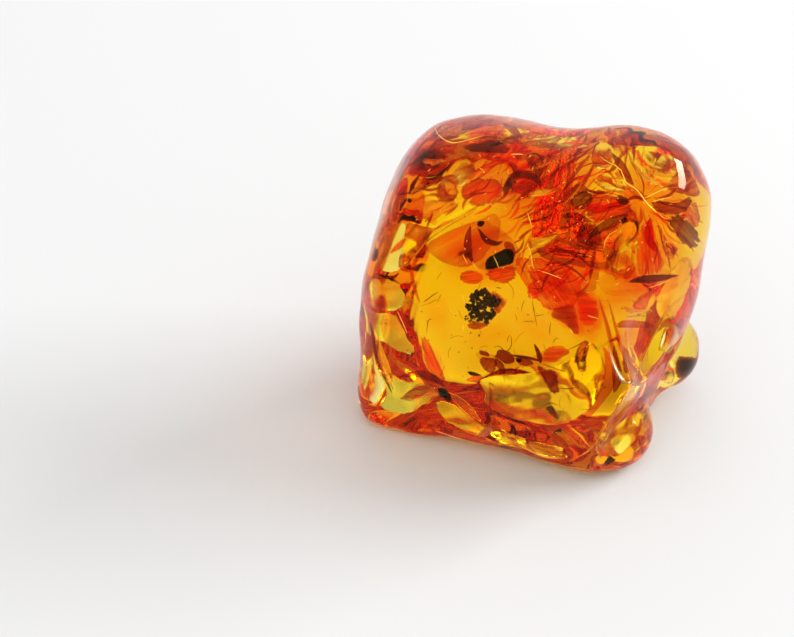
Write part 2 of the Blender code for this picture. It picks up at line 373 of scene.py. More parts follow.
def faint(colour, cover):
    """The same colour with less cover."""
    return colour[:3] + (cover,)


def blend(first, second, share):
    """From the first colour to the second as share goes from 0 to 1, over a grid."""
    first, second = np.array(first, float), np.array(second, float)
    return first + (second - first) * np.clip(share, 0.0, 1.0)[..., None]


def grain_of(across, up, angle):
    """Board places turned by angle, so that the first number runs along the grain, with a new third number."""
    turn = np.radians(angle)
    along = np.cos(turn) * across + np.sin(turn) * up
    aside = np.cos(turn) * up - np.sin(turn) * across
    return np.stack([along, aside, np.full_like(along, dice.uniform(0, 50))], axis=-1).reshape(-1, 3)


# %% [markdown]
# A crack face mirrors light only where it leans more than 41 degrees from the line of sight. So a patch is drawn on
# the board, as it should look, and each of its points then goes to its own depth. The depth grows towards the side
# that the face looks to, which is what makes it lean.

# %% Patches
RIPPLES = 14                             # radians of ripple from the middle of a patch to its rim


def patch(outline, depth, facing=0.0, lean=0.0, bow=0.0, ripple=0.0, thick=0.12, core=CLEAR, rim=None, edge=4.0,
          far=None, fade=0.0, grain=0.0, soft=0.75, wobble=0.035, rings=10, around=48):
    """A point at share r from the middle to the outline lies at depth + tan(lean) * (offset towards facing)
    + bow r^2 + ripple sin(RIPPLES r) r, plus and minus half of thick * sqrt(1 - r^2). The outline wobbles a little,
    and the cover falls by soft * r^3 towards it."""
    outline = np.asarray(outline, float)
    middle = outline.mean(axis=0)
    edge_points = smooth_path(outline, around, closed=True)
    edge_points = middle + (edge_points - middle) * (1 + wobble * dice.normal(0, 1, (around, 1)))
    spoke, next_spoke = edge_points - middle, np.roll(edge_points, -1, axis=0) - middle
    if (spoke[:, 0] * next_spoke[:, 1] - spoke[:, 1] * next_spoke[:, 0]).sum() < 0:
        edge_points = edge_points[::-1]
    r = np.sin(np.linspace(0.0, np.pi / 2, rings))
    r = np.concatenate([r, r[-2::-1]])[:, None]
    side = np.concatenate([np.ones(rings), -np.ones(rings - 1)])[:, None]
    across = middle[0] + r * (edge_points[:, 0] - middle[0])
    up = middle[1] + r * (edge_points[:, 1] - middle[1])
    face = np.radians(facing)
    offset = (across - middle[0]) * np.cos(face) + (up - middle[1]) * np.sin(face)
    deep = (depth + np.tan(np.radians(lean)) * offset + bow * r ** 2 + ripple * np.sin(RIPPLES * r) * r
            - side * thick / 2 * np.sqrt(np.maximum(1 - r ** 2, 0)))
    turn = np.radians(fade)
    run = (across - middle[0]) * np.cos(turn) + (up - middle[1]) * np.sin(turn)
    share = 0.5 + 0.5 * run / np.abs(run).max()
    colour = blend(core, far or core, share)
    if rim:
        colour = colour + (np.array(rim) - colour) * (r ** edge)[..., None]
    colour[..., 3] *= 1 - soft * r ** 3
    return Piece(seats(across.ravel(), up.ravel(), deep.ravel()), tube_quads(2 * rings - 1, around)[:, ::-1],
                 colour.reshape(-1, 4), grain_of(across, up, grain))


def disc(across, up, wide, high, depth, angle=0.0, waver=0.12, **more):
    """A patch whose outline is an ellipse, its radius times 1 + the sum of waver / k * cos((k + 1) turn + phase)."""
    turn = np.linspace(0, 2 * np.pi, 14, endpoint=False)
    phases = dice.uniform(0, 2 * np.pi, 4)
    radius = 1 + sum(waver / k * np.cos((k + 1) * turn + phase) for k, phase in enumerate(phases, start=1))
    x, y = wide / 2 * radius * np.cos(turn), high / 2 * radius * np.sin(turn)
    tip = np.radians(angle)
    outline = np.stack([across + np.cos(tip) * x - np.sin(tip) * y, up + np.sin(tip) * x + np.cos(tip) * y], axis=1)
    return patch(outline, depth, **more)


# %% Ribbons
RIBBON_THICK = 0.08
RIM_POWER = 3.0                          # the higher, the narrower the part of a ribbon that has its rim colour
RIM_FADE = 0.6                           # how much less a ribbon covers at its rim


def ribbon(stops, depth, lean=0.0, curl=0.0, core=CLEAR, rim=None, rings=26, around=12):
    """Stops are (across, up, width). A point at share s along and share v across, from -1 to 1, lies at depth
    + tan(lean) * width/2 * v + curl v^2, plus and minus half of RIBBON_THICK * sqrt(1 - v^2) where it is widest."""
    path = smooth_path(stops, rings)
    s = np.linspace(0.0, 1.0, rings)[:, None]
    run = np.gradient(path[:, :2], axis=0)
    run /= np.linalg.norm(run, axis=1, keepdims=True) + 1e-12
    half = np.maximum(path[:, 2:], 0.0) / 2
    turn = np.linspace(0.0, 2 * np.pi, around, endpoint=False)[None, :]
    v = np.cos(turn)
    across = path[:, :1] - run[:, 1:] * half * v
    up = path[:, 1:2] + run[:, :1] * half * v
    widest = half.max()
    deep = (depth + np.tan(np.radians(lean)) * half * v + curl * (v * half / widest) ** 2
            - RIBBON_THICK / 2 * half / widest * np.sin(turn))
    to_rim = np.maximum(np.abs(v) + 0 * s, np.abs(2 * s - 1) + 0 * v) ** RIM_POWER
    colour = blend(core, rim or core, to_rim)
    colour[..., 3] *= 1 - RIM_FADE * to_rim
    points = seats(across.ravel(), up.ravel(), deep.ravel()).reshape(rings, around, 3)
    points[0] = points[0].mean(axis=0)
    points[-1] = points[-1].mean(axis=0)
    grain = np.stack([2.0 * s + 0 * v, half * v, np.full_like(half * v, dice.uniform(0, 50))], axis=-1)
    return Piece(points.reshape(-1, 3), tube_quads(rings, around), colour.reshape(-1, 4), grain.reshape(-1, 3))


# %% Strands
BLUNT = 0.03                             # the share of a strand at either end that gets no thinner


def strand(stops, depth, radius, core=CLEAR, rings=22, around=5):
    """A round tube along a smooth path on the board. Its radius is radius * sqrt(sin(pi s)) at share s along."""
    board = smooth_path(stops, rings)
    depths = depth if board.shape[1] == 2 else depth + board[:, 2]
    path = seats(board[:, 0], board[:, 1], depths)
    run = np.gradient(path, axis=0)
    run /= np.linalg.norm(run, axis=1, keepdims=True) + 1e-12
    aside = np.cross(run, -INWARD)
    aside /= np.linalg.norm(aside, axis=1, keepdims=True) + 1e-12
    out = np.cross(run, aside)
    s = np.linspace(0.0, 1.0, rings)
    size = radius * np.sin(np.pi * np.clip(s, BLUNT, 1 - BLUNT)) ** 0.5
    turn = np.linspace(0.0, 2 * np.pi, around, endpoint=False)
    ring = np.cos(turn)[None, :, None] * aside[:, None] + np.sin(turn)[None, :, None] * out[:, None]
    points = path[:, None] + size[:, None, None] * ring
    points[0] = path[0]
    points[-1] = path[-1]
    count = rings * around
    return Piece(points.reshape(-1, 3), tube_quads(rings, around), np.tile(core, (count, 1)), np.zeros((count, 3)))


# %% From pieces to one object
def weld(points, quads, owner):
    """Points of one piece that fall together become one, and a quad that loses a corner becomes a triangle."""
    keys = np.column_stack([np.round(points, 5), owner])
    _, first, index = np.unique(keys, axis=0, return_index=True, return_inverse=True)
    faces = [tuple(dict.fromkeys(quad)) for quad in index.reshape(-1)[quads].tolist()]
    return first, [face for face in faces if len(face) > 2]


def join(pieces):
    """All points, quads, tints and grains, and the number of the piece that each point is of."""
    starts = np.cumsum([0] + [len(piece.points) for piece in pieces[:-1]])
    quads = np.concatenate([piece.quads + start for piece, start in zip(pieces, starts)])
    owner = np.concatenate([np.full(len(piece.points), number) for number, piece in enumerate(pieces)])
    points, tint, grain = (np.concatenate([getattr(piece, part) for piece in pieces])
                           for part in ("points", "tint", "grain"))
    return points, quads, tint, grain, owner


def make_object(name, pieces, finish, smooth=True):
    """Joins pieces in one mesh, keeps their tints and grains as attributes, and lets it ride on the root."""
    points, quads, tint, grain, owner = join(pieces)
    points = tuck(points)
    first, faces = weld(points, quads, owner)
    mesh = bpy.data.meshes.new(name)
    mesh.from_pydata((points[first] * MM).tolist(), [], faces)
    colours = mesh.color_attributes.new("tint", "FLOAT_COLOR", "POINT")
    colours.data.foreach_set("color", tint[first].astype(np.float32).ravel())
    lines = mesh.attributes.new("grain", "FLOAT_VECTOR", "POINT")
    lines.data.foreach_set("vector", grain[first].astype(np.float32).ravel())
    if smooth:
        mesh.shade_smooth()
    mesh.materials.append(finish)
    thing = bpy.data.objects.new(name, mesh)
    SCENE.collection.objects.link(thing)
    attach(thing, "root")
    print(name + ":", len(pieces), "pieces,", len(faces), "faces")
    return thing


# %% [markdown]
# ## Shader maths as expressions
#
# A material is a drawing made of nodes. Joining them by hand hides the idea, so a small class wraps a socket, and
# writing a * b + 1 on two sockets adds the Math nodes. One method adds any other node.

# %% A socket that can be calculated with
class Signal:
    """A socket on which +, - and * add Math nodes."""

    def __init__(self, finish, socket):
        self.finish = finish
        self.socket = socket

    def maths(self, operation, *values):
        """One Math node on these values, which are sockets or numbers."""
        return self.finish.add("ShaderNodeMath", dict(enumerate(values)), operation=operation)

    def __add__(self, other):
        return self.maths("ADD", self, other)

    def __sub__(self, other):
        return self.maths("SUBTRACT", self, other)

    def __rsub__(self, other):
        return self.maths("SUBTRACT", other, self)

    def __mul__(self, other):
        return self.maths("MULTIPLY", self, other)

    __radd__ = __add__
    __rmul__ = __mul__

    def ramp(self, low, high):
        """0 below low, 1 above high, and a soft step between."""
        return self.finish.add("ShaderNodeMapRange", {"Value": self, "From Min": low, "From Max": high},
                               interpolation_type="SMOOTHSTEP")


# %% A finish, which owns nodes
class Finish:
    """A new material with a Principled BSDF, and a method that adds any node to it."""

    def __init__(self, name, sockets):
        self.material = bpy.data.materials.new(name)
        self.material.use_nodes = True
        self.tree = self.material.node_tree
        self.shader = self.tree.nodes["Principled BSDF"]
        self.output = self.tree.nodes["Material Output"]
        self.fill(self.shader, sockets)

    def fill(self, node, sockets):
        """Sets or joins the node's inputs, by name or by number."""
        for key, value in sockets.items():
            if isinstance(value, Signal):
                self.tree.links.new(value.socket, node.inputs[key])
            else:
                node.inputs[key].default_value = value

    def add(self, kind, sockets=None, output=0, **settings):
        """A new node with these inputs and settings, given back as one of its outputs."""
        node = self.tree.nodes.new(kind)
        for key, value in settings.items():
            setattr(node, key, value)
        self.fill(node, sockets or {})
        return Signal(self, node.outputs[output])

    def noise(self, size_mm, detail=2.0, warp=0.0):
        """Soft noise from 0 to 1 with lumps of about size_mm, in Object coordinates."""
        place = self.add("ShaderNodeTexCoord", output="Object")
        return self.add("ShaderNodeTexNoise", {"Vector": place, "Scale": 1000.0 / size_mm, "Detail": detail,
                                               "Distortion": warp})

    def streaks(self, long_mm, wide_mm, detail=3.0):
        """Noise that is drawn out along the stored grain, long_mm by wide_mm."""
        grain = self.add("ShaderNodeAttribute", output="Vector", attribute_name="grain")
        pulled = self.add("ShaderNodeVectorMath", {0: grain, 1: (1 / long_mm, 1 / wide_mm, 1.0)},
                          operation="MULTIPLY")
        return self.add("ShaderNodeTexNoise", {"Vector": pulled, "Scale": 1.0, "Detail": detail,
                                               "Distortion": 0.3})

    def mix(self, share, first, second, blend_type="MIX"):
        """A colour between first and second, or their product for blend_type MULTIPLY."""
        return self.add("ShaderNodeMix", {0: share, 6: first, 7: second}, output=2, data_type="RGBA",
                        blend_type=blend_type)

    def bump(self, height, strength, distance_mm):
        """A normal that leans as if the surface rose and fell by distance_mm with the height."""
        return self.add("ShaderNodeBump", {"Height": height, "Strength": strength, "Distance": distance_mm * MM},
                        output="Normal")

    def tint(self, output="Color"):
        """The colour, or the Alpha, that was stored on the mesh."""
        return self.add("ShaderNodeAttribute", output=output, attribute_name="tint")


# %% [markdown]
# ## The amber
#
# Clear amber takes its colour from depth: yellow where it is thin, orange where light has gone a long way. A coloured
# glass would be equally dark everywhere, so the shader is colourless glass, and a Volume Absorption takes out blue
# quickly and green slowly. The mirror image of the sky in the skin is tinted warm, so that no white haze lies over
# the colours. Polished amber still has fine pits here and there, which a noise on the roughness gives.

# %% The amber finish
WHITE = (1.0, 1.0, 1.0, 1.0)
LET_THROUGH = (0.996, 0.905, 0.0, 1.0)
DENSITY = 300.0                          # per metre


def amber_finish():
    """Clear glass over coloured absorption, with worn places where fine pits roughen it."""
    finish = Finish("clear amber", {"Base Color": WHITE, "Transmission Weight": 1.0, "IOR": AMBER_IOR,
                                    "Specular Tint": (0.36, 0.27, 0.13, 1.0)})
    pits = finish.noise(0.55, detail=4.0).ramp(0.70, 0.80)
    wear = finish.noise(6.0, detail=3.0).ramp(0.45, 0.75)
    finish.fill(finish.shader, {"Roughness": pits * wear * 0.12})
    absorb = finish.add("ShaderNodeVolumeAbsorption", {"Color": LET_THROUGH, "Density": DENSITY})
    finish.fill(finish.output, {"Volume": absorb})
    return finish.material


def silk_finish(name, rough):
    """The inside of a crack: the same glass, but silky, and with no volume of its own."""
    finish = Finish(name, {"Base Color": WHITE, "Transmission Weight": 1.0, "IOR": AMBER_IOR})
    ridges = finish.noise(0.8, detail=4.0, warp=1.0)
    finish.fill(finish.shader, {"Roughness": rough * 0.5 + ridges * rough})
    return finish.material


AMBER = amber_finish()
SILKY = silk_finish("silky crack", 0.16)
SMOOTHER = silk_finish("smoother crack", 0.14)
half_green = np.log(2) / (DENSITY * (1 - LET_THROUGH[1])) / MM
print("amber takes out half of the green light in", round(half_green, 1), "mm")

# %% [markdown]
# ## Spangles are holes
#
# A sun spangle is a crack as thin as a hair with air in it. It shines because light that meets it at a slant turns
# back, as under water. Its faces are a little silky, so that it mirrors a blur. The honest way to make it is a real
# hole: a thin closed shell in the same mesh as the body, with its faces looking into the hole. Where a crack looks
# decides its colour: to the nearest bright sky it is golden, and through the long way of the lump it is deep red.

# %% Cracks in the bulb: the golden petals of the flower
SIDEWAYS, UPWARDS, BACKWARDS = 0.0, 90.0, 140.0     # where a crack looks, in degrees round the board
petal_holes = [
    patch([(14.8, 22.3), (13.0, 21.4), (11.8, 20.2), (11.4, 19.0), (11.7, 17.6), (12.8, 16.5), (14.2, 16.8),
           (15.2, 18.2), (15.5, 20.4)], 5.5, UPWARDS + 20, 46, bow=0.7, grain=60),
    patch([(13.9, 25.9), (12.3, 25.8), (11.0, 26.4), (10.1, 27.4), (11.4, 28.0), (13.0, 27.8), (14.0, 27.0)],
          5.0, UPWARDS, 48, bow=0.4),
    patch([(17.6, 22.9), (18.6, 22.2), (19.7, 21.0), (20.3, 19.4), (19.6, 17.7), (18.8, 18.2), (18.3, 19.8),
           (17.9, 21.4)], 5.0, UPWARDS - 20, 47, bow=0.5),
    ribbon([(14.3, 30.9, 0.1), (15.0, 29.4, 0.8), (16.3, 28.1, 1.1), (17.8, 27.2, 1.2), (19.6, 26.9, 1.5),
            (21.3, 27.8, 1.6), (21.2, 29.8, 0.3)], 4.5, lean=50, curl=0.2),
    patch([(10.6, 31.8), (9.9, 30.0), (10.3, 28.7), (11.6, 28.6), (12.5, 29.6), (12.3, 31.2)], 4.5, UPWARDS, 46,
          ripple=0.06),
    patch([(21.2, 23.4), (21.6, 22.2), (22.6, 21.6), (22.9, 22.8), (22.3, 24.6)], 2.5, UPWARDS - 60, 46),
    patch([(15.5, 31.4), (15.4, 30.2), (16.6, 28.9), (18.6, 28.0), (19.8, 28.4), (19.4, 30.4), (17.8, 31.4)],
          5.5, UPWARDS + 40, 46, ripple=0.14),
]

# %% Cracks elsewhere
SKY_BAND = [(-12.4, 21.9), (-11.0, 22.0), (-9.0, 21.7), (-7.4, 22.8), (-5.5, 24.0), (-3.0, 24.9), (-4.4, 23.3),
            (-7.0, 21.8), (-9.8, 19.8), (-11.8, 17.4), (-12.6, 17.0), (-12.8, 19.5)]
LEFT_BAND = [(-15.6, 19.6), (-15.0, 21.4), (-13.6, 22.0), (-12.4, 21.9), (-12.7, 19.5), (-12.7, 17.0),
             (-13.9, 16.2), (-15.2, 16.4), (-15.8, 17.6)]
LOWER_WINDOW = [(-3.4, 3.2), (-2.9, 1.6), (-2.6, 0.3), (-1.0, -0.8), (1.0, -1.5), (3.5, -2.0), (6.0, -2.2),
                (8.0, -1.4), (10.0, 0.2), (11.2, 2.4), (11.5, 4.6), (11.0, 6.4), (9.9, 7.7), (8.6, 6.6), (6.5, 5.2),
                (4.0, 4.4), (1.0, 3.9), (-1.4, 3.8)]
RIGHT_EDGE = [(17.6, 12.6), (18.8, 15.0), (20.4, 17.2), (21.6, 17.4), (21.8, 15.4), (20.9, 12.6), (19.6, 10.6),
              (18.2, 10.8)]
TOP_EDGE = [(-10.4, 30.0), (-8.0, 31.6), (-4.6, 33.2), (-1.0, 33.9), (3.0, 33.0), (7.0, 32.4), (9.6, 32.6),
            (8.6, 31.2), (5.0, 31.0), (1.0, 31.6), (-3.0, 31.8), (-6.4, 30.6), (-9.0, 29.0)]
LEFT_LOBE = [(-16.2, 14.4), (-16.0, 15.8), (-14.6, 15.4), (-13.2, 14.6), (-12.5, 13.0), (-13.2, 11.8), (-15.4, 11.6),
             (-16.1, 12.8)]
LOWER_LOBE = [(-15.2, 10.9), (-13.6, 10.9), (-12.4, 8.6), (-11.3, 6.6), (-12.8, 6.6), (-14.4, 7.4), (-15.3, 8.8)]
CORNER = [(-15.6, 2.6), (-14.2, 3.6), (-12.4, 3.0), (-10.0, 2.6), (-8.6, 1.4), (-10.2, 0.2), (-12.6, -0.8),
          (-15.0, 0.0)]
BASE_BAND = [(-8.6, 0.6), (-6.4, 0.2), (-4.2, -1.6), (-2.0, -3.0), (-3.0, -3.8), (-5.4, -2.8), (-7.8, -1.4)]
FOOT_LOBE = [(10.4, -5.4), (12.6, -6.0), (14.8, -4.4), (16.0, -2.2), (16.3, -0.6), (14.8, -0.8), (13.0, -2.2),
             (11.2, -3.8)]
other_holes = [
    patch(SKY_BAND, 5.0, UPWARDS + 5, 45, bow=0.4, thick=0.08, wobble=0.01, around=72),
    patch(LEFT_BAND, 3.6, BACKWARDS + 12, 34, thick=0.08, wobble=0.01),
    patch(TOP_EDGE, 5.0, UPWARDS - 5, 47, wobble=0.03, around=72),
    patch(LEFT_LOBE, 7.0, BACKWARDS, 47, wobble=0.03),
    patch(LOWER_LOBE, 7.5, BACKWARDS, 47, wobble=0.03),
    patch(CORNER, 4.0, BACKWARDS, 47),
    patch(BASE_BAND, 3.0, BACKWARDS, 47),
    patch([(-2.2, -3.0), (0.4, -3.3), (2.0, -4.0), (1.6, -5.0), (-0.8, -4.4)], 3.0, SIDEWAYS + 10, 47),
    patch([(2.4, -4.2), (4.6, -4.5), (6.4, -5.0), (5.8, -6.0), (3.4, -5.6)], 2.4, SIDEWAYS + 20, 47),
    patch(FOOT_LOBE, 4.2, SIDEWAYS + 30, 47, wobble=0.02),
    patch(RIGHT_EDGE, 7.2, SIDEWAYS + 20, 47, wobble=0.03),
    ribbon([(8.0, -6.2, 0.05), (9.8, -5.0, 0.3), (11.4, -2.4, 0.35), (13.6, 0.8, 0.3), (15.4, 4.2, 0.3),
            (17.2, 8.2, 0.3), (19.2, 11.8, 0.3), (21.4, 13.7, 0.05)], 0.6, lean=50, rings=40),
    ribbon([(11.9, 7.6, 0.1), (12.4, 5.8, 0.5), (13.0, 4.2, 0.7), (13.8, 3.2, 0.8), (14.8, 3.0, 0.2)], 0.5, lean=50),
    patch([(-11.8, 25.4), (-10.6, 27.0), (-8.6, 27.5), (-6.8, 28.0), (-5.8, 29.2), (-4.6, 29.2), (-4.0, 28.4),
           (-5.0, 27.2), (-6.0, 26.4), (-7.6, 27.2), (-9.6, 26.6)], 3.6, UPWARDS, 46),
    ribbon([(-10.4, 27.6, 0.1), (-9.2, 27.9, 0.6), (-8.1, 28.5, 0.7), (-7.3, 29.5, 0.1)], 2.6, lean=50),
    disc(-7.4, 25.9, 2.5, 2.5, 2.6, waver=0.04, facing=230, lean=30, bow=0.5),
    ribbon([(0.6, 24.6, 0.1), (2.2, 25.5, 0.8), (4.2, 25.8, 0.8), (6.0, 26.1, 0.1)], 4.5, lean=50),
    ribbon([(3.2, 28.6, 0.1), (5.4, 29.6, 0.5), (7.8, 31.2, 0.6), (9.6, 32.0, 0.1)], 3.5, lean=50),
    ribbon([(6.4, 24.2, 0.1), (8.0, 25.6, 0.5), (9.4, 27.6, 0.5), (10.4, 29.6, 0.1)], 4.5, lean=50),
    patch([(2.4, 20.2), (4.0, 20.4), (6.2, 21.2), (5.4, 20.2), (4.0, 19.2), (2.7, 19.0)], 4.5, UPWARDS, 47,
          ripple=0.08),
    patch([(-17.3, 8.6), (-16.8, 9.2), (-16.3, 6.8), (-15.7, 4.4), (-14.8, 2.6), (-14.8, 1.0), (-16.0, 0.2),
           (-17.2, 1.6), (-17.6, 4.6)], 3.6, BACKWARDS + 5, 47),
    patch([(-13.0, 1.0), (-11.2, 2.4), (-9.6, 2.6), (-8.4, 1.6), (-10.4, 0.8)], 2.0, 270, 46),
    ribbon([(-16.3, 9.6, 0.1), (-15.7, 7.6, 0.6), (-15.1, 5.6, 1.0), (-14.4, 3.6, 0.8), (-13.9, 2.0, 0.1)], 1.4,
           lean=50),
    ribbon([(-7.4, 1.8, 0.1), (-6.2, 0.9, 0.9), (-4.8, -0.4, 1.0), (-3.4, -1.7, 0.2)], 2.0, lean=48),
    ribbon([(-3.2, -2.0, 0.2), (-1.0, -3.1, 0.9), (2.0, -4.7, 0.7), (4.6, -5.7, 0.9), (7.2, -6.0, 0.3)], 1.2,
           lean=48),
    patch([(13.8, 12.0), (15.2, 11.75), (16.9, 11.8), (17.1, 11.4), (15.8, 11.2), (14.4, 11.2)], 2.0, UPWARDS, 47),
    patch([(19.5, 5.6), (18.8, 4.6), (18.2, 2.7), (19.4, 2.8), (19.9, 4.0)], 1.5, UPWARDS, 47),
    patch([(18.2, 7.2), (18.6, 8.8), (19.8, 9.9), (20.4, 8.6), (20.0, 7.2), (19.0, 6.4)], 3.0, SIDEWAYS, 46),
]
window_hole = patch(LOWER_WINDOW, 9.0, SIDEWAYS, 47, thick=0.08, wobble=0.01, around=72, rings=14)
print(len(petal_holes), "cracks in the flower,", len(other_holes), "elsewhere and one behind the lower window")

# %% The clear body, with its holes
def build_amber():
    """The outer skin, then each hole turned inside out, in one mesh with three materials."""
    everything, faces, kinds = [body_points], body_quads.tolist(), [0] * len(body_quads)
    for kind, group in enumerate((petal_holes + other_holes, [window_hole]), start=1):
        points, quads, _, _, owner = join(group)
        points = tuck(points)
        first, hole_faces = weld(points, quads, owner)
        start = sum(map(len, everything))
        everything.append(points[first])
        faces += [tuple(start + corner for corner in reversed(face)) for face in hole_faces]
        kinds += [kind] * len(hole_faces)
    mesh = bpy.data.meshes.new("amber_body")
    mesh.from_pydata((np.concatenate(everything) * MM).tolist(), [], faces)
    mesh.polygons.foreach_set("material_index", kinds)
    mesh.shade_smooth()
    for finish in (AMBER, SILKY, SMOOTHER):
        mesh.materials.append(finish)
    body = bpy.data.objects.new("amber_body", mesh)
    SCENE.collection.objects.link(body)
    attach(body, "root")
    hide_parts("amber_front", "amber_back")
    return body


amber_body = build_amber()
hole_count = len(amber_body.data.polygons) - len(body_quads)
print("amber_body:", len(body_quads), "quads of skin and", hole_count, "faces of holes")

# %% [markdown]
# ## Films and veils
#
# Many cracks in amber have rusted: they are films of orange and red that light goes through. A film bends nothing, so
# its shader is glass with an IOR of 1, tinted by the colour stored on the mesh, with fine streaks that follow the
# stored grain. A veil is broken by fine scales, so its Alpha is cut by a noise. A cloud is a film that fades out to
# nothing, uneven along its grain.

# %% Film finishes
def film_finish(name, streak, scale_mm, gap):
    """Lets the stored tint through. streak is how dark its streaks are, and gap how much of it breaks into scales."""
    finish = Finish(name, {"Transmission Weight": 1.0, "IOR": 1.0, "Roughness": 0.0})
    lines = finish.streaks(3.5, 0.38)
    scales = finish.noise(scale_mm, detail=5.0, warp=1.2)
    dark = finish.mix(lines.ramp(0.42, 0.62) * streak, WHITE, (0.62, 0.30, 0.30, 1.0))
    colour = finish.mix(1.0, finish.tint(), dark, "MULTIPLY")
    ragged = finish.tint("Alpha") + (lines - 0.5) * 1.2 + (scales - 0.5) * 1.2
    cover = ragged.ramp(0.1 + gap, 0.5 + gap)
    finish.fill(finish.shader, {"Base Color": colour, "Alpha": cover})
    return finish.material


FILM = film_finish("rust film", 0.6, 0.9, 0.0)
VEIL = film_finish("broken veil", 0.8, 1.6, 0.25)
PETAL = film_finish("plant film", 0.8, 0.4, 0.0)


def cloud_finish():
    """A film with no edge: its cover is the stored one, uneven along the grain."""
    finish = Finish("amber cloud", {"Transmission Weight": 1.0, "IOR": 1.0, "Roughness": 0.0})
    wisps = finish.streaks(6.0, 1.0, detail=5.0).ramp(0.30, 0.70)
    finish.fill(finish.shader, {"Base Color": finish.tint(), "Alpha": finish.tint("Alpha") * (0.55 + wisps * 0.45)})
    return finish.material


CLOUDY = cloud_finish()

# %% Places spread inside an outline
ROW = 0.87                               # rows are this much of the spacing apart, as in a triangular grid


def inside_outline(points, outline):
    """For each point, whether a line from it to the right crosses the closed outline an odd number of times."""
    x, y = points[:, :1], points[:, 1:]
    x0, y0 = outline[:, 0], outline[:, 1]
    x1, y1 = np.roll(x0, -1), np.roll(y0, -1)
    crosses = (y0 > y) != (y1 > y)
    with np.errstate(divide="ignore", invalid="ignore"):
        at = x0 + (y - y0) * (x1 - x0) / (y1 - y0)
    return (crosses & (x < at)).sum(axis=1) % 2 == 1


def scatter(outline, spacing, jitter):
    """Points on a grid with every second row shifted, each moved by up to jitter, kept where they are inside."""
    low, high = outline.min(axis=0), outline.max(axis=0)
    across, up = np.meshgrid(np.arange(low[0], high[0], spacing), np.arange(low[1], high[1], spacing * ROW))
    across = across + np.where(np.arange(len(across)) % 2, spacing / 2, 0)[:, None]
    points = np.stack([across.ravel(), up.ravel()], axis=1)
    points += dice.uniform(-jitter, jitter, points.shape)
    return points[inside_outline(points, outline)]


# %% The flower in the bulb
RED_LINE = (0.90, 0.05, 0.10, 1.0)
# The tints are partly the spangles' own rust and flame colour and partly painted reflection: the dark olive, umber and
# russet petals stand in for the dark surroundings that real spangles mirror.
flower = [
    patch([(9.2, 23.9), (10.4, 26.0), (12.5, 25.4), (14.6, 24.6), (14.4, 23.2), (12.0, 22.5), (10.2, 22.2)], 6.5,
          core=FLAME, rim=RUSSET, grain=10),
    patch([(13.0, 28.4), (14.0, 27.3), (15.4, 26.2), (16.6, 25.2), (16.0, 24.8), (14.0, 25.2), (12.2, 26.6)], 6.0,
          core=ORANGE, rim=RUST, grain=-45),
    patch([(17.0, 24.6), (18.5, 24.7), (20.2, 24.5), (21.7, 25.2), (21.9, 24.2), (21.0, 23.3), (19.5, 23.0),
           (17.8, 23.4)], 4.0, core=RUSSET, rim=UMBER, grain=5),
    patch([(18.9, 22.6), (19.7, 21.4), (20.4, 20.1), (21.2, 19.3), (22.4, 19.2), (22.9, 20.0), (22.5, 21.2),
           (21.4, 22.5), (20.2, 23.1)], 3.5, core=OLIVE, rim=UMBER, grain=-50),
    patch([(16.2, 22.4), (15.5, 20.0), (15.3, 16.4), (17.0, 16.0), (18.6, 16.8), (17.9, 19.6), (17.2, 22.0)], 4.6,
          core=FLAME, rim=ORANGE, grain=-85),
    patch([(19.0, 26.2), (20.0, 28.0), (21.4, 28.4), (22.4, 27.0), (22.9, 25.4), (21.4, 25.4)], 3.0,
          core=RUST, rim=RUSSET, grain=30),
    patch([(12.4, 32.4), (15.0, 33.0), (18.5, 32.5), (20.8, 31.0), (22.4, 29.0), (21.2, 29.2), (19.0, 31.0),
           (16.0, 31.8), (13.4, 31.4)], 3.0, core=RUST, rim=RUSSET, grain=-20),
    ribbon([(17.0, 22.8, 0.1), (16.8, 21.5, 1.0), (16.9, 20.0, 1.1), (17.6, 18.6, 0.2)], 4.0, core=RED_LINE),
    ribbon([(12.2, 30.6, 0.1), (13.3, 29.2, 0.9), (14.1, 27.7, 1.0), (15.0, 26.6, 0.1)], 4.2, core=RUSSET,
           rim=UMBER),
    ribbon([(14.4, 23.2, 0.3), (12.2, 22.1, 1.2), (10.6, 21.2, 0.9), (9.4, 20.0, 0.2)], 4.5, core=OLIVE,
           rim=RUSSET),
    ribbon([(14.2, 15.0, 0.1), (16.0, 15.3, 0.9), (18.2, 15.5, 0.8), (20.4, 15.8, 0.1)], 2.6, core=UMBER),
    disc(9.6, 20.4, 3.4, 3.2, 5.0, core=RUSSET, rim=OLIVE, waver=0.08),
    disc(8.6, 25.2, 3.2, 2.8, 5.2, core=OLIVE, rim=RUSSET, waver=0.1),
    disc(13.6, 24.8, 1.5, 1.3, 3.8, core=UMBER, rim=RUSSET),
    disc(12.0, 24.0, 4.6, 1.0, 5.0, angle=15, core=RED_LINE),
]

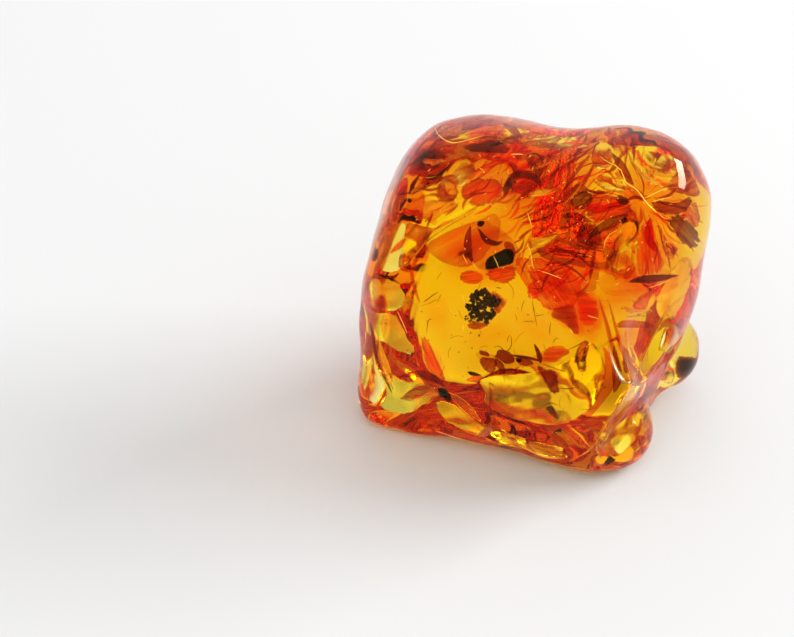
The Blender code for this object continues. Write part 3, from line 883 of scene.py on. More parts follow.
# %% Rust films over the rest of the stone
films = [
    # folds of the red fan beside the crumb
    ribbon([(-4.6, 21.8, 0.1), (-4.9, 20.4, 0.8), (-4.9, 18.8, 0.9), (-4.3, 17.3, 0.2)], 3.6, core=RUSSET, rim=UMBER),
    ribbon([(-3.8, 21.6, 0.1), (-2.8, 20.1, 0.7), (-1.6, 19.6, 0.6), (-0.7, 19.9, 0.1)], 3.4, core=UMBER),
    disc(-3.4, 22.0, 1.0, 0.7, 3.2, core=SOOT, rim=UMBER),
    # the upper middle
    patch([(-5.6, 31.2), (-4.0, 31.8), (-2.0, 32.1), (-0.4, 31.6), (0.2, 31.0), (-0.2, 30.5), (-2.5, 30.4),
           (-4.5, 30.7)], 2.4, core=UMBER, rim=RUSSET),
    patch([(-5.0, 32.2), (-4.5, 34.0), (-2.0, 34.8), (-0.6, 34.2), (-0.4, 33.0), (-1.5, 32.3)], 1.6, core=FLAME,
          rim=ORANGE),
    ribbon([(-0.8, 34.1, 0.2), (0.5, 33.2, 0.9), (1.7, 32.2, 0.1)], 1.8, core=RUSSET),
    patch([(0.3, 31.2), (0.6, 32.2), (1.4, 31.9), (2.4, 31.0), (2.0, 30.2), (0.6, 30.3)], 2.6, core=FLAME, rim=RUST),
    ribbon([(-0.6, 25.0, 0.1), (-0.2, 26.4, 0.9), (0.6, 27.6, 1.0), (2.0, 27.9, 1.1), (3.2, 27.4, 0.9),
            (3.9, 26.4, 0.1)], 4.0, core=UMBER, rim=RUSSET),
    disc(1.8, 26.4, 3.0, 1.8, 5.0, core=RUSSET, rim=RUST),
    ribbon([(6.0, 23.0, 0.1), (8.0, 22.9, 0.9), (10.2, 22.1, 0.1)], 4.6, core=RUSSET),
    ribbon([(4.2, 17.0, 0.1), (6.0, 17.3, 0.35), (8.0, 16.3, 0.3), (9.4, 15.0, 0.1)], 4.6, core=RUSSET),
    ribbon([(3.6, 18.0, 0.1), (6.0, 18.8, 0.3), (8.4, 18.0, 0.3), (10.0, 16.6, 0.1)], 4.6, core=RUSSET),
    patch([(2.3, 14.4), (3.0, 15.0), (3.7, 13.6), (3.2, 13.0), (2.3, 13.2)], 3.4, core=FLAME, rim=RUST),
    patch([(5.6, 11.9), (7.5, 12.3), (8.2, 10.8), (8.3, 8.4), (6.8, 9.8), (5.0, 11.0)], 3.2, core=RUSSET, rim=RUST),
    patch([(8.2, 13.6), (9.8, 13.5), (10.7, 12.0), (10.5, 10.2), (9.4, 9.7), (8.4, 10.6)], 3.4, core=FLAME,
          rim=ORANGE),
    # by the crumb
    patch([(-2.9, 16.0), (-1.8, 16.7), (-0.5, 16.8), (0.5, 16.9), (1.0, 16.0), (0.3, 15.2), (-0.8, 14.8),
           (-2.0, 15.1)], 3.8, core=FLAME, rim=RUSSET, grain=10, wobble=0.08),
    patch([(-0.6, 19.8), (0.4, 19.7), (0.8, 18.6), (0.5, 17.6), (-0.2, 18.4)], 3.8, core=RUSSET),
    patch([(-5.9, 15.8), (-5.0, 16.4), (-3.6, 16.2), (-3.0, 15.6), (-3.6, 14.9), (-4.8, 14.7), (-5.6, 15.0)], 3.4,
          core=FLAME, rim=RUST, grain=5),
    # the upper left
    patch([(-11.5, 30.3), (-10.6, 31.2), (-9.6, 31.0), (-8.0, 30.9), (-7.4, 29.8), (-8.2, 28.7), (-9.8, 28.3),
           (-11.2, 28.8)], 2.2, core=UMBER, rim=FLAME, edge=3),
    patch([(-12.3, 31.4), (-10.4, 32.4), (-8.0, 32.0), (-6.4, 30.4), (-7.4, 28.4), (-10.0, 27.6), (-12.4, 28.6)], 3.0,
          core=ORANGE, rim=FLAME),
    ribbon([(-10.5, 27.3, 0.1), (-8.6, 27.6, 0.4), (-6.8, 29.4, 0.1)], 2.0, core=UMBER),
    ribbon([(-10.6, 28.0, 0.1), (-11.5, 26.7, 0.5), (-12.0, 25.5, 0.1)], 1.8, core=UMBER),
    ribbon([(-12.2, 25.1, 0.1), (-12.8, 24.2, 0.4), (-13.1, 23.4, 0.1)], 1.6, core=UMBER),
    disc(-12.8, 26.3, 1.1, 2.4, 2.2, angle=-20, core=FLAME, rim=RUSSET),
    disc(-7.5, 25.9, 2.9, 2.8, 2.2, waver=0.04, core=ORANGE, rim=RUSSET, edge=6),
    patch([(-5.8, 26.0), (-4.6, 27.2), (-3.2, 27.5), (-1.0, 27.0), (-0.6, 25.5), (-2.2, 24.5), (-4.0, 24.1),
           (-5.4, 25.0)], 4.4, core=FLAME, rim=RUSSET, grain=30),
    patch([(-13.1, 23.4), (-12.0, 25.0), (-10.2, 24.9), (-8.6, 24.8), (-7.0, 25.0), (-6.3, 23.9), (-8.2, 22.8),
           (-9.0, 21.9), (-10.4, 22.6), (-11.4, 22.2), (-12.6, 22.4)], 2.0, core=ORANGE, rim=RUST, grain=25),
    ribbon([(-14.3, 18.4, 0.1), (-13.2, 19.4, 0.8), (-12.4, 20.3, 0.1)], 1.8, core=FLAME),
    patch([(-13.3, 17.2), (-12.9, 18.4), (-12.1, 18.3), (-11.7, 17.3), (-11.9, 16.2), (-12.9, 16.4)], 1.8, core=RUST,
          rim=RUSSET),
    ribbon([(-15.8, 16.0, 0.1), (-14.8, 15.6, 0.4), (-13.8, 15.6, 0.4), (-13.2, 16.1, 0.1)], 1.4, core=UMBER),
    # the left lobes
    patch([(-10.5, 8.0), (-9.8, 8.1), (-8.5, 5.4), (-7.7, 3.4), (-8.2, 3.0), (-9.2, 3.8), (-10.1, 5.6)], 2.0,
          core=FLAME, rim=RUST, grain=-65),
    ribbon([(-13.6, 3.5, 0.1), (-11.0, 4.0, 0.8), (-9.0, 3.4, 0.9), (-7.6, 2.4, 0.1)], 2.0, core=RUSSET),
    ribbon([(-16.7, 10.4, 0.1), (-16.2, 8.0, 0.5), (-15.7, 5.8, 0.5), (-14.9, 3.6, 0.4), (-14.0, 1.6, 0.1)], 1.2,
           core=RUSSET, rim=UMBER),
    ribbon([(-10.2, 19.2, 0.1), (-11.2, 17.6, 0.5), (-11.7, 16.2, 0.5), (-11.3, 14.2, 0.4), (-10.7, 12.4, 0.1)], 1.4,
           core=RUST),
    patch([(-8.7, 2.4), (-7.6, 2.1), (-6.9, 1.2), (-7.2, 0.6), (-8.1, 1.4)], 1.6, core=SOOT, rim=UMBER),
    # the rim band round the lower window, and its red hollow
    ribbon([(-5.2, 3.2, 0.2), (-3.6, 3.3, 1.0), (-2.3, 2.0, 0.5), (-2.2, 0.4, 0.9), (0.0, -1.2, 0.9),
            (3.0, -2.2, 0.7), (6.0, -2.5, 0.8), (8.6, -1.6, 0.8), (10.6, 0.4, 0.9), (11.9, 3.0, 1.6),
            (12.0, 5.4, 1.0), (11.2, 7.4, 0.2)], 1.6, core=RUST, rim=FLAME, rings=60),
    ribbon([(12.6, 7.6, 0.1), (12.8, 5.4, 0.9), (13.0, 3.4, 1.2), (12.6, 1.6, 0.2)], 1.2, core=RUSSET),
    patch([(3.9, 5.5), (4.2, 6.8), (5.2, 7.3), (6.4, 7.3), (7.3, 6.6), (6.4, 6.0), (5.6, 5.4)], 5.0, core=FLAME,
          rim=RUST),
    patch([(13.0, 9.6), (13.4, 10.3), (15.2, 10.4), (17.0, 10.1), (17.2, 9.6), (15.4, 9.5)], 1.6, core=RUST,
          rim=RUSSET),
    patch([(0.8, 17.4), (3.0, 17.9), (6.0, 17.2), (8.2, 15.6), (8.6, 13.6), (7.2, 12.0), (4.8, 11.6), (3.0, 13.2),
           (1.6, 15.2)], 5.2, core=ORANGE, rim=FLAME, grain=-60, soft=0.5),
    patch([(2.4, 16.6), (4.6, 16.4), (6.8, 15.0), (7.4, 13.2), (6.0, 12.6), (4.2, 13.0), (3.0, 14.4)], 4.6,
          core=FLAME, rim=ORANGE, grain=-50, soft=0.6),
    ribbon([(10.8, 13.0, 0.1), (11.8, 9.6, 0.5), (12.5, 6.8, 0.5), (13.4, 4.6, 0.1)], 1.3, core=RUST),
    ribbon([(12.0, 12.6, 0.1), (12.8, 9.6, 0.4), (13.6, 6.6, 0.5), (14.6, 4.2, 0.1)], 1.0, core=RUST),
    patch([(15.4, 1.6), (16.4, 2.7), (17.9, 2.2), (17.4, 1.3), (15.7, 0.4)], 1.2, core=RUSSET, rim=RUST),
    patch([(-12.7, 1.2), (-11.2, 2.6), (-10.4, 3.0), (-9.0, 2.4), (-8.6, 1.7), (-10.4, 1.1)], 1.4, core=HONEY,
          rim=RUST),
]
make_object("rust_films", flower + films, FILM)

# %% Soft flames and bruises
smooth_films = [
    patch([(-1.8, 23.2), (-3.6, 22.4), (-6.0, 21.6), (-8.2, 20.6), (-9.9, 19.3), (-9.2, 18.2), (-7.5, 17.2),
           (-5.4, 16.8), (-3.4, 17.6), (-2.4, 19.0), (-1.4, 19.9), (-1.0, 21.8)], 4.2, core=RUST, far=FLAME, fade=200,
          edge=8, rim=RUSSET, soft=0.3, grain=30, wobble=0.015),
    patch([(-5.4, 18.6), (-4.4, 21.0), (-3.0, 22.2), (-1.4, 21.6), (0.4, 20.2), (1.4, 18.2), (0.8, 16.6), (-1.0, 16.0),
           (-3.2, 16.4), (-4.2, 17.2)], 4.0, core=RUST, rim=RUSSET, soft=0.5, grain=30),
    patch([(3.0, 18.6), (5.0, 19.9), (7.2, 20.2), (9.2, 19.2), (10.6, 17.6), (10.8, 15.6), (9.8, 13.6), (7.6, 13.4),
           (5.2, 14.4), (3.2, 16.0)], 5.0, core=FLAME, far=ORANGE, fade=90, rim=RUSSET, soft=0.4, grain=-15),
    patch([(4.6, 12.4), (6.8, 13.6), (9.6, 14.0), (11.4, 12.4), (11.0, 9.8), (9.0, 8.4), (7.2, 9.2), (5.2, 10.6)], 4.6,
          core=FLAME, rim=ORANGE, soft=0.6, grain=-60),
    patch([(10.6, 15.2), (12.4, 16.2), (15.4, 16.6), (19.0, 16.4), (20.4, 14.8), (18.0, 13.4), (14.6, 13.2),
           (11.6, 13.6)], 3.0, core=ORANGE, rim=RUST, soft=0.6, grain=5),
    patch([(-16.4, 14.2), (-16.3, 16.0), (-14.8, 15.6), (-13.2, 14.8), (-12.4, 13.3), (-13.0, 12.0), (-15.6, 11.9),
           (-16.3, 12.8)], 1.2, core=RUST, rim=RUSSET, soft=0.3),
    patch([(-15.2, 10.9), (-13.6, 10.9), (-12.4, 8.6), (-11.3, 6.6), (-12.8, 6.6), (-14.4, 7.4), (-15.3, 8.8)], 1.2,
          core=RUST, far=ORANGE, rim=RUST, soft=0.3),
    patch([(17.2, 12.2), (18.6, 15.2), (20.4, 17.6), (21.8, 17.6), (22.0, 15.4), (21.0, 12.4), (19.6, 10.2),
           (18.0, 10.4)], 2.4, core=ORANGE, far=RUST, fade=60, rim=RUST, soft=0.5, grain=65),
    # a brown bruise round the plant scrap
    patch([(-3.8, 6.6), (-2.4, 6.4), (-0.6, 6.2), (1.0, 6.4), (3.0, 6.2), (4.6, 7.0), (6.6, 6.8), (6.2, 5.6),
           (4.9, 5.0), (6.0, 3.4), (6.8, 1.8), (5.2, 2.4), (3.9, 4.4), (1.6, 4.8), (-0.2, 4.2), (-1.8, 4.4),
           (-3.2, 5.2)], 4.0, core=faint(RUST, 0.8), rim=faint(RUSSET, 0.5), soft=0.6, wobble=0.05, around=72,
          grain=20),
]
make_object("amber_flames", smooth_films, CLOUDY)

# %% Clouds and broken veils
CLOUD = (0.98, 0.56, 0.42, 1.0)
DEEP_CLOUD = (0.95, 0.42, 0.40, 1.0)
HAZE = (1.0, 0.66, 0.42, 0.6)
NOTHING = (1.0, 1.0, 1.0, 0.0)
CLOUDS = [    # (across, up, wide, high, depth, angle, colour)
    (16.0, 24.4, 14.5, 15.0, 7.5, 20, CLOUD), (13.0, 20.0, 13.0, 10.0, 6.6, 60, DEEP_CLOUD),
    (17.0, 25.6, 11.0, 11.0, 4.6, -40, CLOUD), (18.8, 21.0, 8.0, 9.0, 3.0, 80, CLOUD),
    (5.0, 26.0, 17.0, 11.0, 7.0, 35, DEEP_CLOUD), (7.0, 22.0, 14.0, 9.0, 8.0, 35, DEEP_CLOUD),
    (3.0, 25.0, 15.0, 9.0, 4.4, 35, CLOUD), (9.4, 28.8, 9.0, 6.0, 4.6, 40, CLOUD),
    (-3.5, 29.0, 14.0, 8.0, 4.4, 25, CLOUD), (-2.5, 27.4, 12.0, 7.0, 5.4, 25, DEEP_CLOUD),
    (-8.8, 28.2, 7.0, 6.0, 2.6, 60, CLOUD), (-3.6, 19.6, 14.0, 9.0, 5.2, 30, DEEP_CLOUD),
    (-1.4, 16.6, 9.0, 5.0, 4.4, 20, DEEP_CLOUD), (7.4, 15.0, 13.0, 12.0, 6.4, 60, DEEP_CLOUD),
    (9.4, 10.4, 7.0, 8.0, 5.0, 70, DEEP_CLOUD), (14.0, 13.6, 9.0, 6.0, 3.0, 10, DEEP_CLOUD),
    (16.6, 15.0, 8.0, 5.0, 4.0, 10, CLOUD), (19.4, 11.6, 4.0, 7.0, 1.6, 60, HONEY),
    (14.8, 9.0, 5.0, 5.0, 2.0, 80, CLOUD), (18.2, 18.4, 7.0, 6.0, 4.6, 80, DEEP_CLOUD),
    (-9.6, 5.4, 5.0, 4.0, 2.4, -60, CLOUD), (-8.6, 11.0, 4.0, 8.0, 4.0, 10, HAZE),
    (-2.4, 8.6, 9.0, 4.0, 6.0, 15, HAZE), (3.4, 9.4, 7.0, 5.0, 5.0, -30, HAZE),
    (-14.2, 19.2, 9.0, 5.4, 1.5, 75, HONEY),
]
VEILS = [    # (across, up, long, wide, angle in radians, depth, colour)
    (7.6, 30.6, 11.0, 1.2, 0.5, 4.0, ORANGE), (5.2, 27.6, 12.0, 1.0, 0.6, 5.0, RUST),
    (7.4, 25.6, 9.0, 0.9, 0.7, 5.6, RUST), (3.4, 29.4, 9.0, 1.0, 0.45, 3.6, FLAME),
    (8.6, 28.6, 6.0, 0.8, 0.9, 4.6, RUSSET), (4.4, 23.6, 8.0, 0.8, 0.4, 5.6, RUST),
    (-1.6, 29.0, 8.0, 0.9, 0.35, 3.4, FLAME), (6.6, 32.6, 7.0, 0.8, -0.2, 3.0, ORANGE),
    (9.6, 23.8, 5.0, 0.9, 0.2, 5.0, FLAME), (12.0, 17.4, 4.0, 0.9, 1.2, 5.0, RUST),
    (13.2, 29.6, 5.0, 0.7, 0.9, 5.6, RUST), (18.4, 29.6, 5.0, 0.8, -0.5, 5.2, RUST),
    (20.8, 22.2, 5.0, 0.8, 1.2, 4.6, FLAME), (10.0, 17.0, 5.0, 0.9, 1.4, 5.6, RUSSET),
]


def veil(across, up, long, wide, angle, depth, colour):
    """A ribbon with a low arch, thin at both ends and faint at its rim."""
    x, y = 0.5 * long * np.cos(angle), 0.5 * long * np.sin(angle)
    stops = [(across - x, up - y, 0.1), (across, up + 0.3, wide), (across + x, up + y, 0.1)]
    return ribbon(stops, depth, lean=12, core=colour, rim=faint(colour, 0.0))


clouds = [disc(across, up, wide, high, depth, angle=angle, core=colour, rim=NOTHING, edge=2.5, grain=angle, ripple=0.1,
               soft=0.0, rings=12) for across, up, wide, high, depth, angle, colour in CLOUDS]
veils = [veil(*row) for row in VEILS]
make_object("amber_clouds", clouds, CLOUDY)
make_object("broken_veils", veils, VEIL)

# %% [markdown]
# Between the big films the stone is full of fine fibres, flow lines that resin drew out as it ran. They are thin
# ribbons, scattered evenly over a region, and each lies along the flow. In the bulb they point away from the middle
# of the flower, and in the clear window there are only a few hairs.

# %% Flow fibres
HEART_OF_FLOWER = np.array([16.0, 25.0])


def fibres(outline, spacing, angle, spread, long, wide, depths, colours, radial=False):
    """Ribbons through each scattered place, along angle plus or minus spread, in degrees, or away from the heart
    of the flower. long, wide and depths are ranges in millimetres."""
    made = []
    for place in scatter(np.array(outline), spacing, spacing * 0.4):
        away = place - HEART_OF_FLOWER
        flow = np.arctan2(away[1], away[0]) if radial else np.radians(angle)
        flow += np.radians(dice.uniform(-spread, spread))
        reach = np.array([np.cos(flow), np.sin(flow)]) * dice.uniform(*long) / 2
        side = np.array([-reach[1], reach[0]]) * dice.uniform(-0.4, 0.4)
        stops = [(*(place - reach), 0.04), (*(place + side), dice.uniform(*wide)), (*(place + reach), 0.04)]
        made.append(ribbon(stops, dice.uniform(*depths), core=colours[dice.integers(len(colours))], rings=9,
                           around=6))
    return made


UPPER_MIDDLE = [(-6, 27), (-5, 33), (2, 34), (9, 33), (12.5, 29), (11, 21), (9, 14), (3, 14), (1, 19), (-2, 23)]
BULB = [(11, 20), (10, 27), (13, 32), (19, 32), (23, 27), (22.5, 19), (18, 16), (12, 16)]
UPPER_LEFT = [(-14, 22), (-12, 29), (-8, 33), (-4, 32), (-4, 25), (-9, 22)]
WINDOW = [(-9, 18), (-4, 15), (2, 14), (6, 9), (10, 6), (10, 0), (4, -2), (-3, 0), (-9, 4), (-10.5, 12)]
WARM = [RUST, FLAME, RUSSET, ORANGE]
flow_fibres = fibres(UPPER_MIDDLE, 1.5, 38, 28, (2.0, 5.0), (0.15, 0.5), (2.4, 6.5), WARM)
flow_fibres += fibres(BULB, 1.7, 0, 16, (2.0, 4.5), (0.12, 0.45), (2.4, 6.0), WARM, radial=True)
flow_fibres += fibres(UPPER_LEFT, 1.7, 30, 40, (1.2, 3.0), (0.15, 0.5), (1.4, 3.4), WARM[:3])
flow_fibres += fibres(WINDOW, 3.1, 60, 60, (0.8, 3.0), (0.03, 0.09), (2.0, 6.0), [UMBER, RUSSET, RUST])
make_object("amber_fibres", flow_fibres, FILM)

# %% [markdown]
# ## The bark flake
#
# The flake is a chip of charred bark: a heap of small brittle blocks, with a smooth brown rind along one side. Blocks
# could be carved with a displacement, but real gaps between them let the amber glow through, so the heap is made of
# separate rough cubes, scattered evenly inside the outline of the chip.

# %% A heap of rough blocks
CUBE = np.array([[x, y, z] for z in (-0.5, 0.5) for y in (-0.5, 0.5) for x in (-0.5, 0.5)])
CUBE_QUADS = np.array([[0, 2, 3, 1], [4, 5, 7, 6], [0, 1, 5, 4], [2, 6, 7, 3], [0, 4, 6, 2], [1, 3, 7, 5]])


def blocks(centres, low, high, dark, warm):
    """Rough cubes: each is stretched, turned at random and has every corner pulled by up to a fifth of its size."""
    count = len(centres)
    size = dice.uniform(low, high, (count, 1, 3))
    corners = CUBE[None] * size + dice.uniform(-0.2, 0.2, (count, 8, 3)) * size
    turn, tip = dice.uniform(0, 2 * np.pi, count), dice.uniform(-0.5, 0.5, count)
    cos, sin = np.cos(turn)[:, None], np.sin(turn)[:, None]
    x = cos * corners[..., 0] - sin * corners[..., 1]
    y = sin * corners[..., 0] + cos * corners[..., 1]
    z = corners[..., 2] + tip[:, None] * x
    points = np.asarray(centres)[:, None] + x[..., None] * ACROSS + y[..., None] * UP_BOARD - z[..., None] * INWARD
    quads = CUBE_QUADS[None] + 8 * np.arange(count)[:, None, None]
    shade = dice.uniform(0, 1, (count, 1)) ** 2
    tint = blend(dark, warm, np.broadcast_to(shade, (count, 8)))
    return Piece(points.reshape(-1, 3), quads.reshape(-1, 4), tint.reshape(-1, 4), np.zeros((8 * count, 3)))


# %% Scattering the blocks
CHIP = np.array([(-4.6, 13.3), (-4.1, 13.9), (-3.2, 14.1), (-2.4, 13.6), (-1.4, 13.0), (-0.6, 12.6), (-0.9, 12.1),
                 (-1.9, 12.0), (-1.8, 11.0), (-2.7, 10.2), (-3.7, 10.4), (-4.9, 11.0), (-5.1, 12.0), (-4.5, 12.6)])
CHIP_DEPTH = depth_of_parting(-3.3, 11.8)
BLACK_CHAR = (0.003, 0.0015, 0.001, 1.0)
BROWN_CHAR = (0.10, 0.022, 0.005, 1.0)
spots = scatter(CHIP, 0.42, 0.13)
spots = spots[dice.uniform(0, 1, len(spots)) > 0.12]
lift = dice.uniform(-0.45, 0.25, len(spots))
bark_cells = blocks(seats(spots[:, 0], spots[:, 1], CHIP_DEPTH + lift), 0.26, 0.62, BLACK_CHAR, BROWN_CHAR)
crumb_spots = scatter(np.array([(-5.4, 11.0), (-4.4, 11.2), (-3.8, 10.4), (-4.2, 9.9), (-5.2, 10.3)]), 0.3, 0.1)
bark_crumbs = blocks(seats(crumb_spots[:, 0], crumb_spots[:, 1], CHIP_DEPTH - 0.3), 0.12, 0.28,
                     (0.30, 0.06, 0.012, 1.0), (0.75, 0.25, 0.03, 1.0))
print("bark flake:", len(spots), "blocks and", len(crumb_spots), "crumbs")


# %% Char and rind
def char_finish():
    finish = Finish("charred bark", {"Specular IOR Level": 0.2})
    grain = finish.noise(0.18, detail=5.0)
    ash = finish.noise(0.7, detail=3.0).ramp(0.55, 0.75)
    colour = finish.mix(ash * 0.5, finish.tint(), (0.06, 0.02, 0.008, 1.0))
    finish.fill(finish.shader, {"Base Color": finish.mix(grain * 0.6, colour, (0.004, 0.002, 0.001, 1.0)),
                                "Roughness": 0.35 + grain * 0.4, "Normal": finish.bump(grain, 0.6, 0.06)})
    return finish.material


CHAR = char_finish()
bark = make_object("bark_blocks", [bark_cells, bark_crumbs], CHAR, smooth=False)
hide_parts("bark_flake")
rind = [
    patch([(-3.2, 14.3), (-1.9, 13.9), (-0.8, 13.3), (-0.3, 12.6), (-0.7, 11.7), (-1.5, 11.0), (-2.2, 10.4),
           (-2.0, 11.4), (-1.2, 12.3), (-2.0, 13.2)], CHIP_DEPTH - 0.2, core=RUSSET, rim=RUST, grain=-60),
    disc(-3.8, 9.8, 2.6, 0.9, CHIP_DEPTH, angle=8, core=RUSSET, rim=RUST, waver=0.1),
]
make_object("bark_rind", rind, PETAL)

# %% [markdown]
# ## The crumb
#
# The black bean above the flake is a bean of frass, glossy where it is smooth and pitted between, so one noise drives
# its colour, roughness and bump together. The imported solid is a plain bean, and the fine one is a thick patch with
# a notched outline, set on the same plane.

# %% The bean and its finish
def crumb_finish():
    finish = Finish("black crumb", {"Specular IOR Level": 0.25})
    pits = finish.noise(0.45, detail=5.0, warp=0.6)
    rust = finish.noise(0.9, detail=2.0).ramp(0.60, 0.74)
    colour = finish.mix(rust, (0.004, 0.002, 0.001, 1.0), (0.10, 0.020, 0.005, 1.0))
    finish.fill(finish.shader, {"Base Color": colour, "Roughness": 0.25 + pits * 0.5,
                                "Normal": finish.bump(pits, 0.8, 0.12)})
    return finish.material


BEAN = [(-2.9, 17.0), (-2.5, 17.9), (-1.4, 18.5), (-0.4, 19.0), (0.4, 18.8), (0.6, 18.0), (0.3, 17.2), (-0.8, 16.9),
        (-1.8, 16.6), (-2.6, 16.5)]
BEAN_DEPTH = depth_of_parting(-1.2, 17.8)
bean = make_object("frass_bean", [patch(BEAN, BEAN_DEPTH + 0.5, thick=1.7, wobble=0.02, rings=14)], crumb_finish())
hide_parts("resin_crumb")

# %% [markdown]
# ## The plant scrap
#
# Below the flake lies a torn scrap of blossom: a clump of petals, a stalk link, a spike and a trailing lobe, with a
# few threads. Dry petals in resin are brown films with darker veins and edges. All of them lie near the plane in
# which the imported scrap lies.

# %% Petals and threads
SCRAP_DEPTH = depth_of_parting(0.0, 5.4)
DRY = (0.55, 0.15, 0.14, 1.0)
DRY_EDGE = (0.20, 0.05, 0.06, 1.0)


def petal(outline, deeper=0.0, core=DRY, grain=0.0):
    """A slightly cupped patch with a dark edge, near the plane of the scrap."""
    return patch(outline, SCRAP_DEPTH + deeper, bow=0.25, core=core, rim=DRY_EDGE, grain=grain, edge=5)


scrap_petals = [
    petal([(-3.6, 5.7), (-3.2, 6.0), (-2.4, 5.9), (-1.6, 5.8), (-1.5, 4.9), (-2.0, 4.0), (-2.6, 4.2), (-3.3, 4.9)],
          grain=60),
    petal([(-1.7, 5.8), (-0.8, 5.4), (-0.5, 4.7), (-0.4, 4.0), (-1.1, 4.3), (-1.6, 5.0)], 0.3, grain=-60),
    petal([(-3.5, 6.8), (-2.6, 6.6), (-2.4, 6.1), (-3.4, 6.3)], -0.2, grain=-15),
    petal([(-1.6, 6.3), (-1.2, 6.9), (-0.4, 6.8), (0.2, 6.5), (0.6, 6.0), (0.5, 5.2), (-0.4, 5.2), (-1.0, 5.6),
           (-1.8, 6.0)], -0.3, core=(0.40, 0.09, 0.08, 1.0), grain=-25),
    petal([(0.8, 5.9), (1.6, 6.0), (2.4, 5.7), (3.0, 5.2), (2.2, 4.9), (1.2, 5.1)], grain=-20),
    petal([(3.4, 4.9), (4.4, 4.6), (5.4, 4.4), (5.8, 3.6), (5.9, 2.6), (6.1, 1.8), (5.2, 1.7), (4.6, 2.4),
           (4.2, 3.2)], 0.2, grain=-55),
    petal([(4.4, -0.1), (5.2, 0.1), (5.7, -0.8), (5.9, -1.5), (5.0, -0.9)], 0.2, grain=-55),
    petal([(7.9, 5.4), (8.2, 7.0), (8.9, 7.9), (9.6, 7.6), (9.4, 6.4), (9.0, 5.5)], 0.6, core=(0.8, 0.3, 0.25, 0.9),
          grain=70),
    disc(1.2, 5.6, 0.8, 0.5, SCRAP_DEPTH - 0.4, core=SOOT, rim=UMBER, waver=0.1),
    ribbon([(3.0, 7.6, 0.1), (3.4, 6.8, 0.5), (3.7, 5.9, 0.7), (3.8, 5.2, 0.1)], SCRAP_DEPTH, core=DRY_EDGE, rim=DRY),
    ribbon([(0.4, 6.2, 0.2), (2.2, 5.9, 0.4), (3.9, 5.5, 0.2)], SCRAP_DEPTH - 0.2, core=DRY_EDGE, rim=DRY),
    ribbon([(-5.0, 4.2, 0.1), (-4.4, 4.0, 0.5), (-3.3, 3.8, 0.1)], SCRAP_DEPTH, core=SOOT, rim=UMBER),
    ribbon([(-2.1, 1.7, 0.1), (-1.0, 2.1, 0.35), (0.0, 2.3, 0.1)], SCRAP_DEPTH, core=RED_LINE),
]
THREADS = [
    [(-1.9, 7.1), (-1.2, 7.3), (-0.4, 6.7), (0.2, 7.2), (0.3, 8.0), (0.2, 8.6)],
    [(4.0, 5.2), (5.6, 4.6), (6.8, 4.2)],
    [(5.8, 2.3), (7.4, 2.2), (8.8, 2.6)],
    [(0.6, 4.0), (0.8, 4.5), (1.2, 4.9)],
    [(4.2, 0.2), (5.0, 0.5), (5.9, 0.2)],
    [(7.0, 6.8), (8.2, 7.4), (9.2, 8.0)],
]
scrap_threads = [strand(stops, SCRAP_DEPTH, 0.055, core=DRY_EDGE) for stops in THREADS]
plant = make_object("plant_scrap_petals", scrap_petals + scrap_threads, PETAL)
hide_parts("plant_scrap")

# %% [markdown]
# ## Hairlines, fibres and specks
#
# Threads finer than a tenth of a millimetre cross the stone. The dark ones are stellate hairs from oak buds, besides
# one dark line along the lower edge, and the bright ones are edges of tiny cracks, which mirror light like gold wire.
# They are strands with two finishes, and the gold one has a painted glow, for the light that crack edges catch.

# %% Dark hairs, and gold edges with a painted glow
def hair_finish():
    finish = Finish("dark hair", {"Roughness": 0.5})
    bands = finish.noise(0.3)
    finish.fill(finish.shader, {"Base Color": finish.mix(bands, (0.01, 0.004, 0.002, 1.0), (0.16, 0.04, 0.01, 1.0))})
    return finish.material


def painted_glow_finish():
    finish = Finish("gold edge", {"Metallic": 1.0})
    worn = finish.noise(0.4)
    # the emission is a painted glow, for the light that crack edges catch
    finish.fill(finish.shader, {"Base Color": finish.mix(worn, (1.0, 0.90, 0.50, 1.0), (1.0, 0.70, 0.20, 1.0)),
                                "Roughness": 0.25 + worn * 0.25, "Emission Color": (1.0, 0.62, 0.16, 1.0),
                                "Emission Strength": 0.45})
    return finish.material


DARK_LINES = [    # (depth, radius, places on the board)
    (3.0, 0.045, [(2.8, 13.0), (2.9, 12.0), (3.1, 11.0), (3.4, 9.5)]),
    (3.0, 0.04, [(3.1, 10.9), (3.6, 11.0), (4.2, 11.1)]),
    (3.0, 0.045, [(5.0, 10.2), (4.9, 9.3), (4.9, 8.6)]),
    (3.0, 0.04, [(1.9, 12.9), (1.6, 12.2), (1.5, 11.4)]),
    (3.0, 0.04, [(1.6, 10.2), (2.4, 10.3), (3.2, 10.2)]),
    (2.4, 0.05, [(-10.3, 12.6), (-9.4, 13.2), (-8.4, 13.9)]),
    (2.4, 0.05, [(-9.9, 8.8), (-9.7, 10.3), (-9.2, 10.6)]),
    (2.5, 0.05, [(-1.6, 14.35), (-1.2, 14.3), (-0.9, 14.15)]),
    # a dark line along the lower edge of the stone
    (1.0, 0.05, [(-4.0, -4.0), (0.0, -4.9), (3.0, -6.0), (6.0, -6.8)]),
    (1.2, 0.05, [(14.0, 10.8), (15.5, 10.95), (17.0, 10.9)]),
]
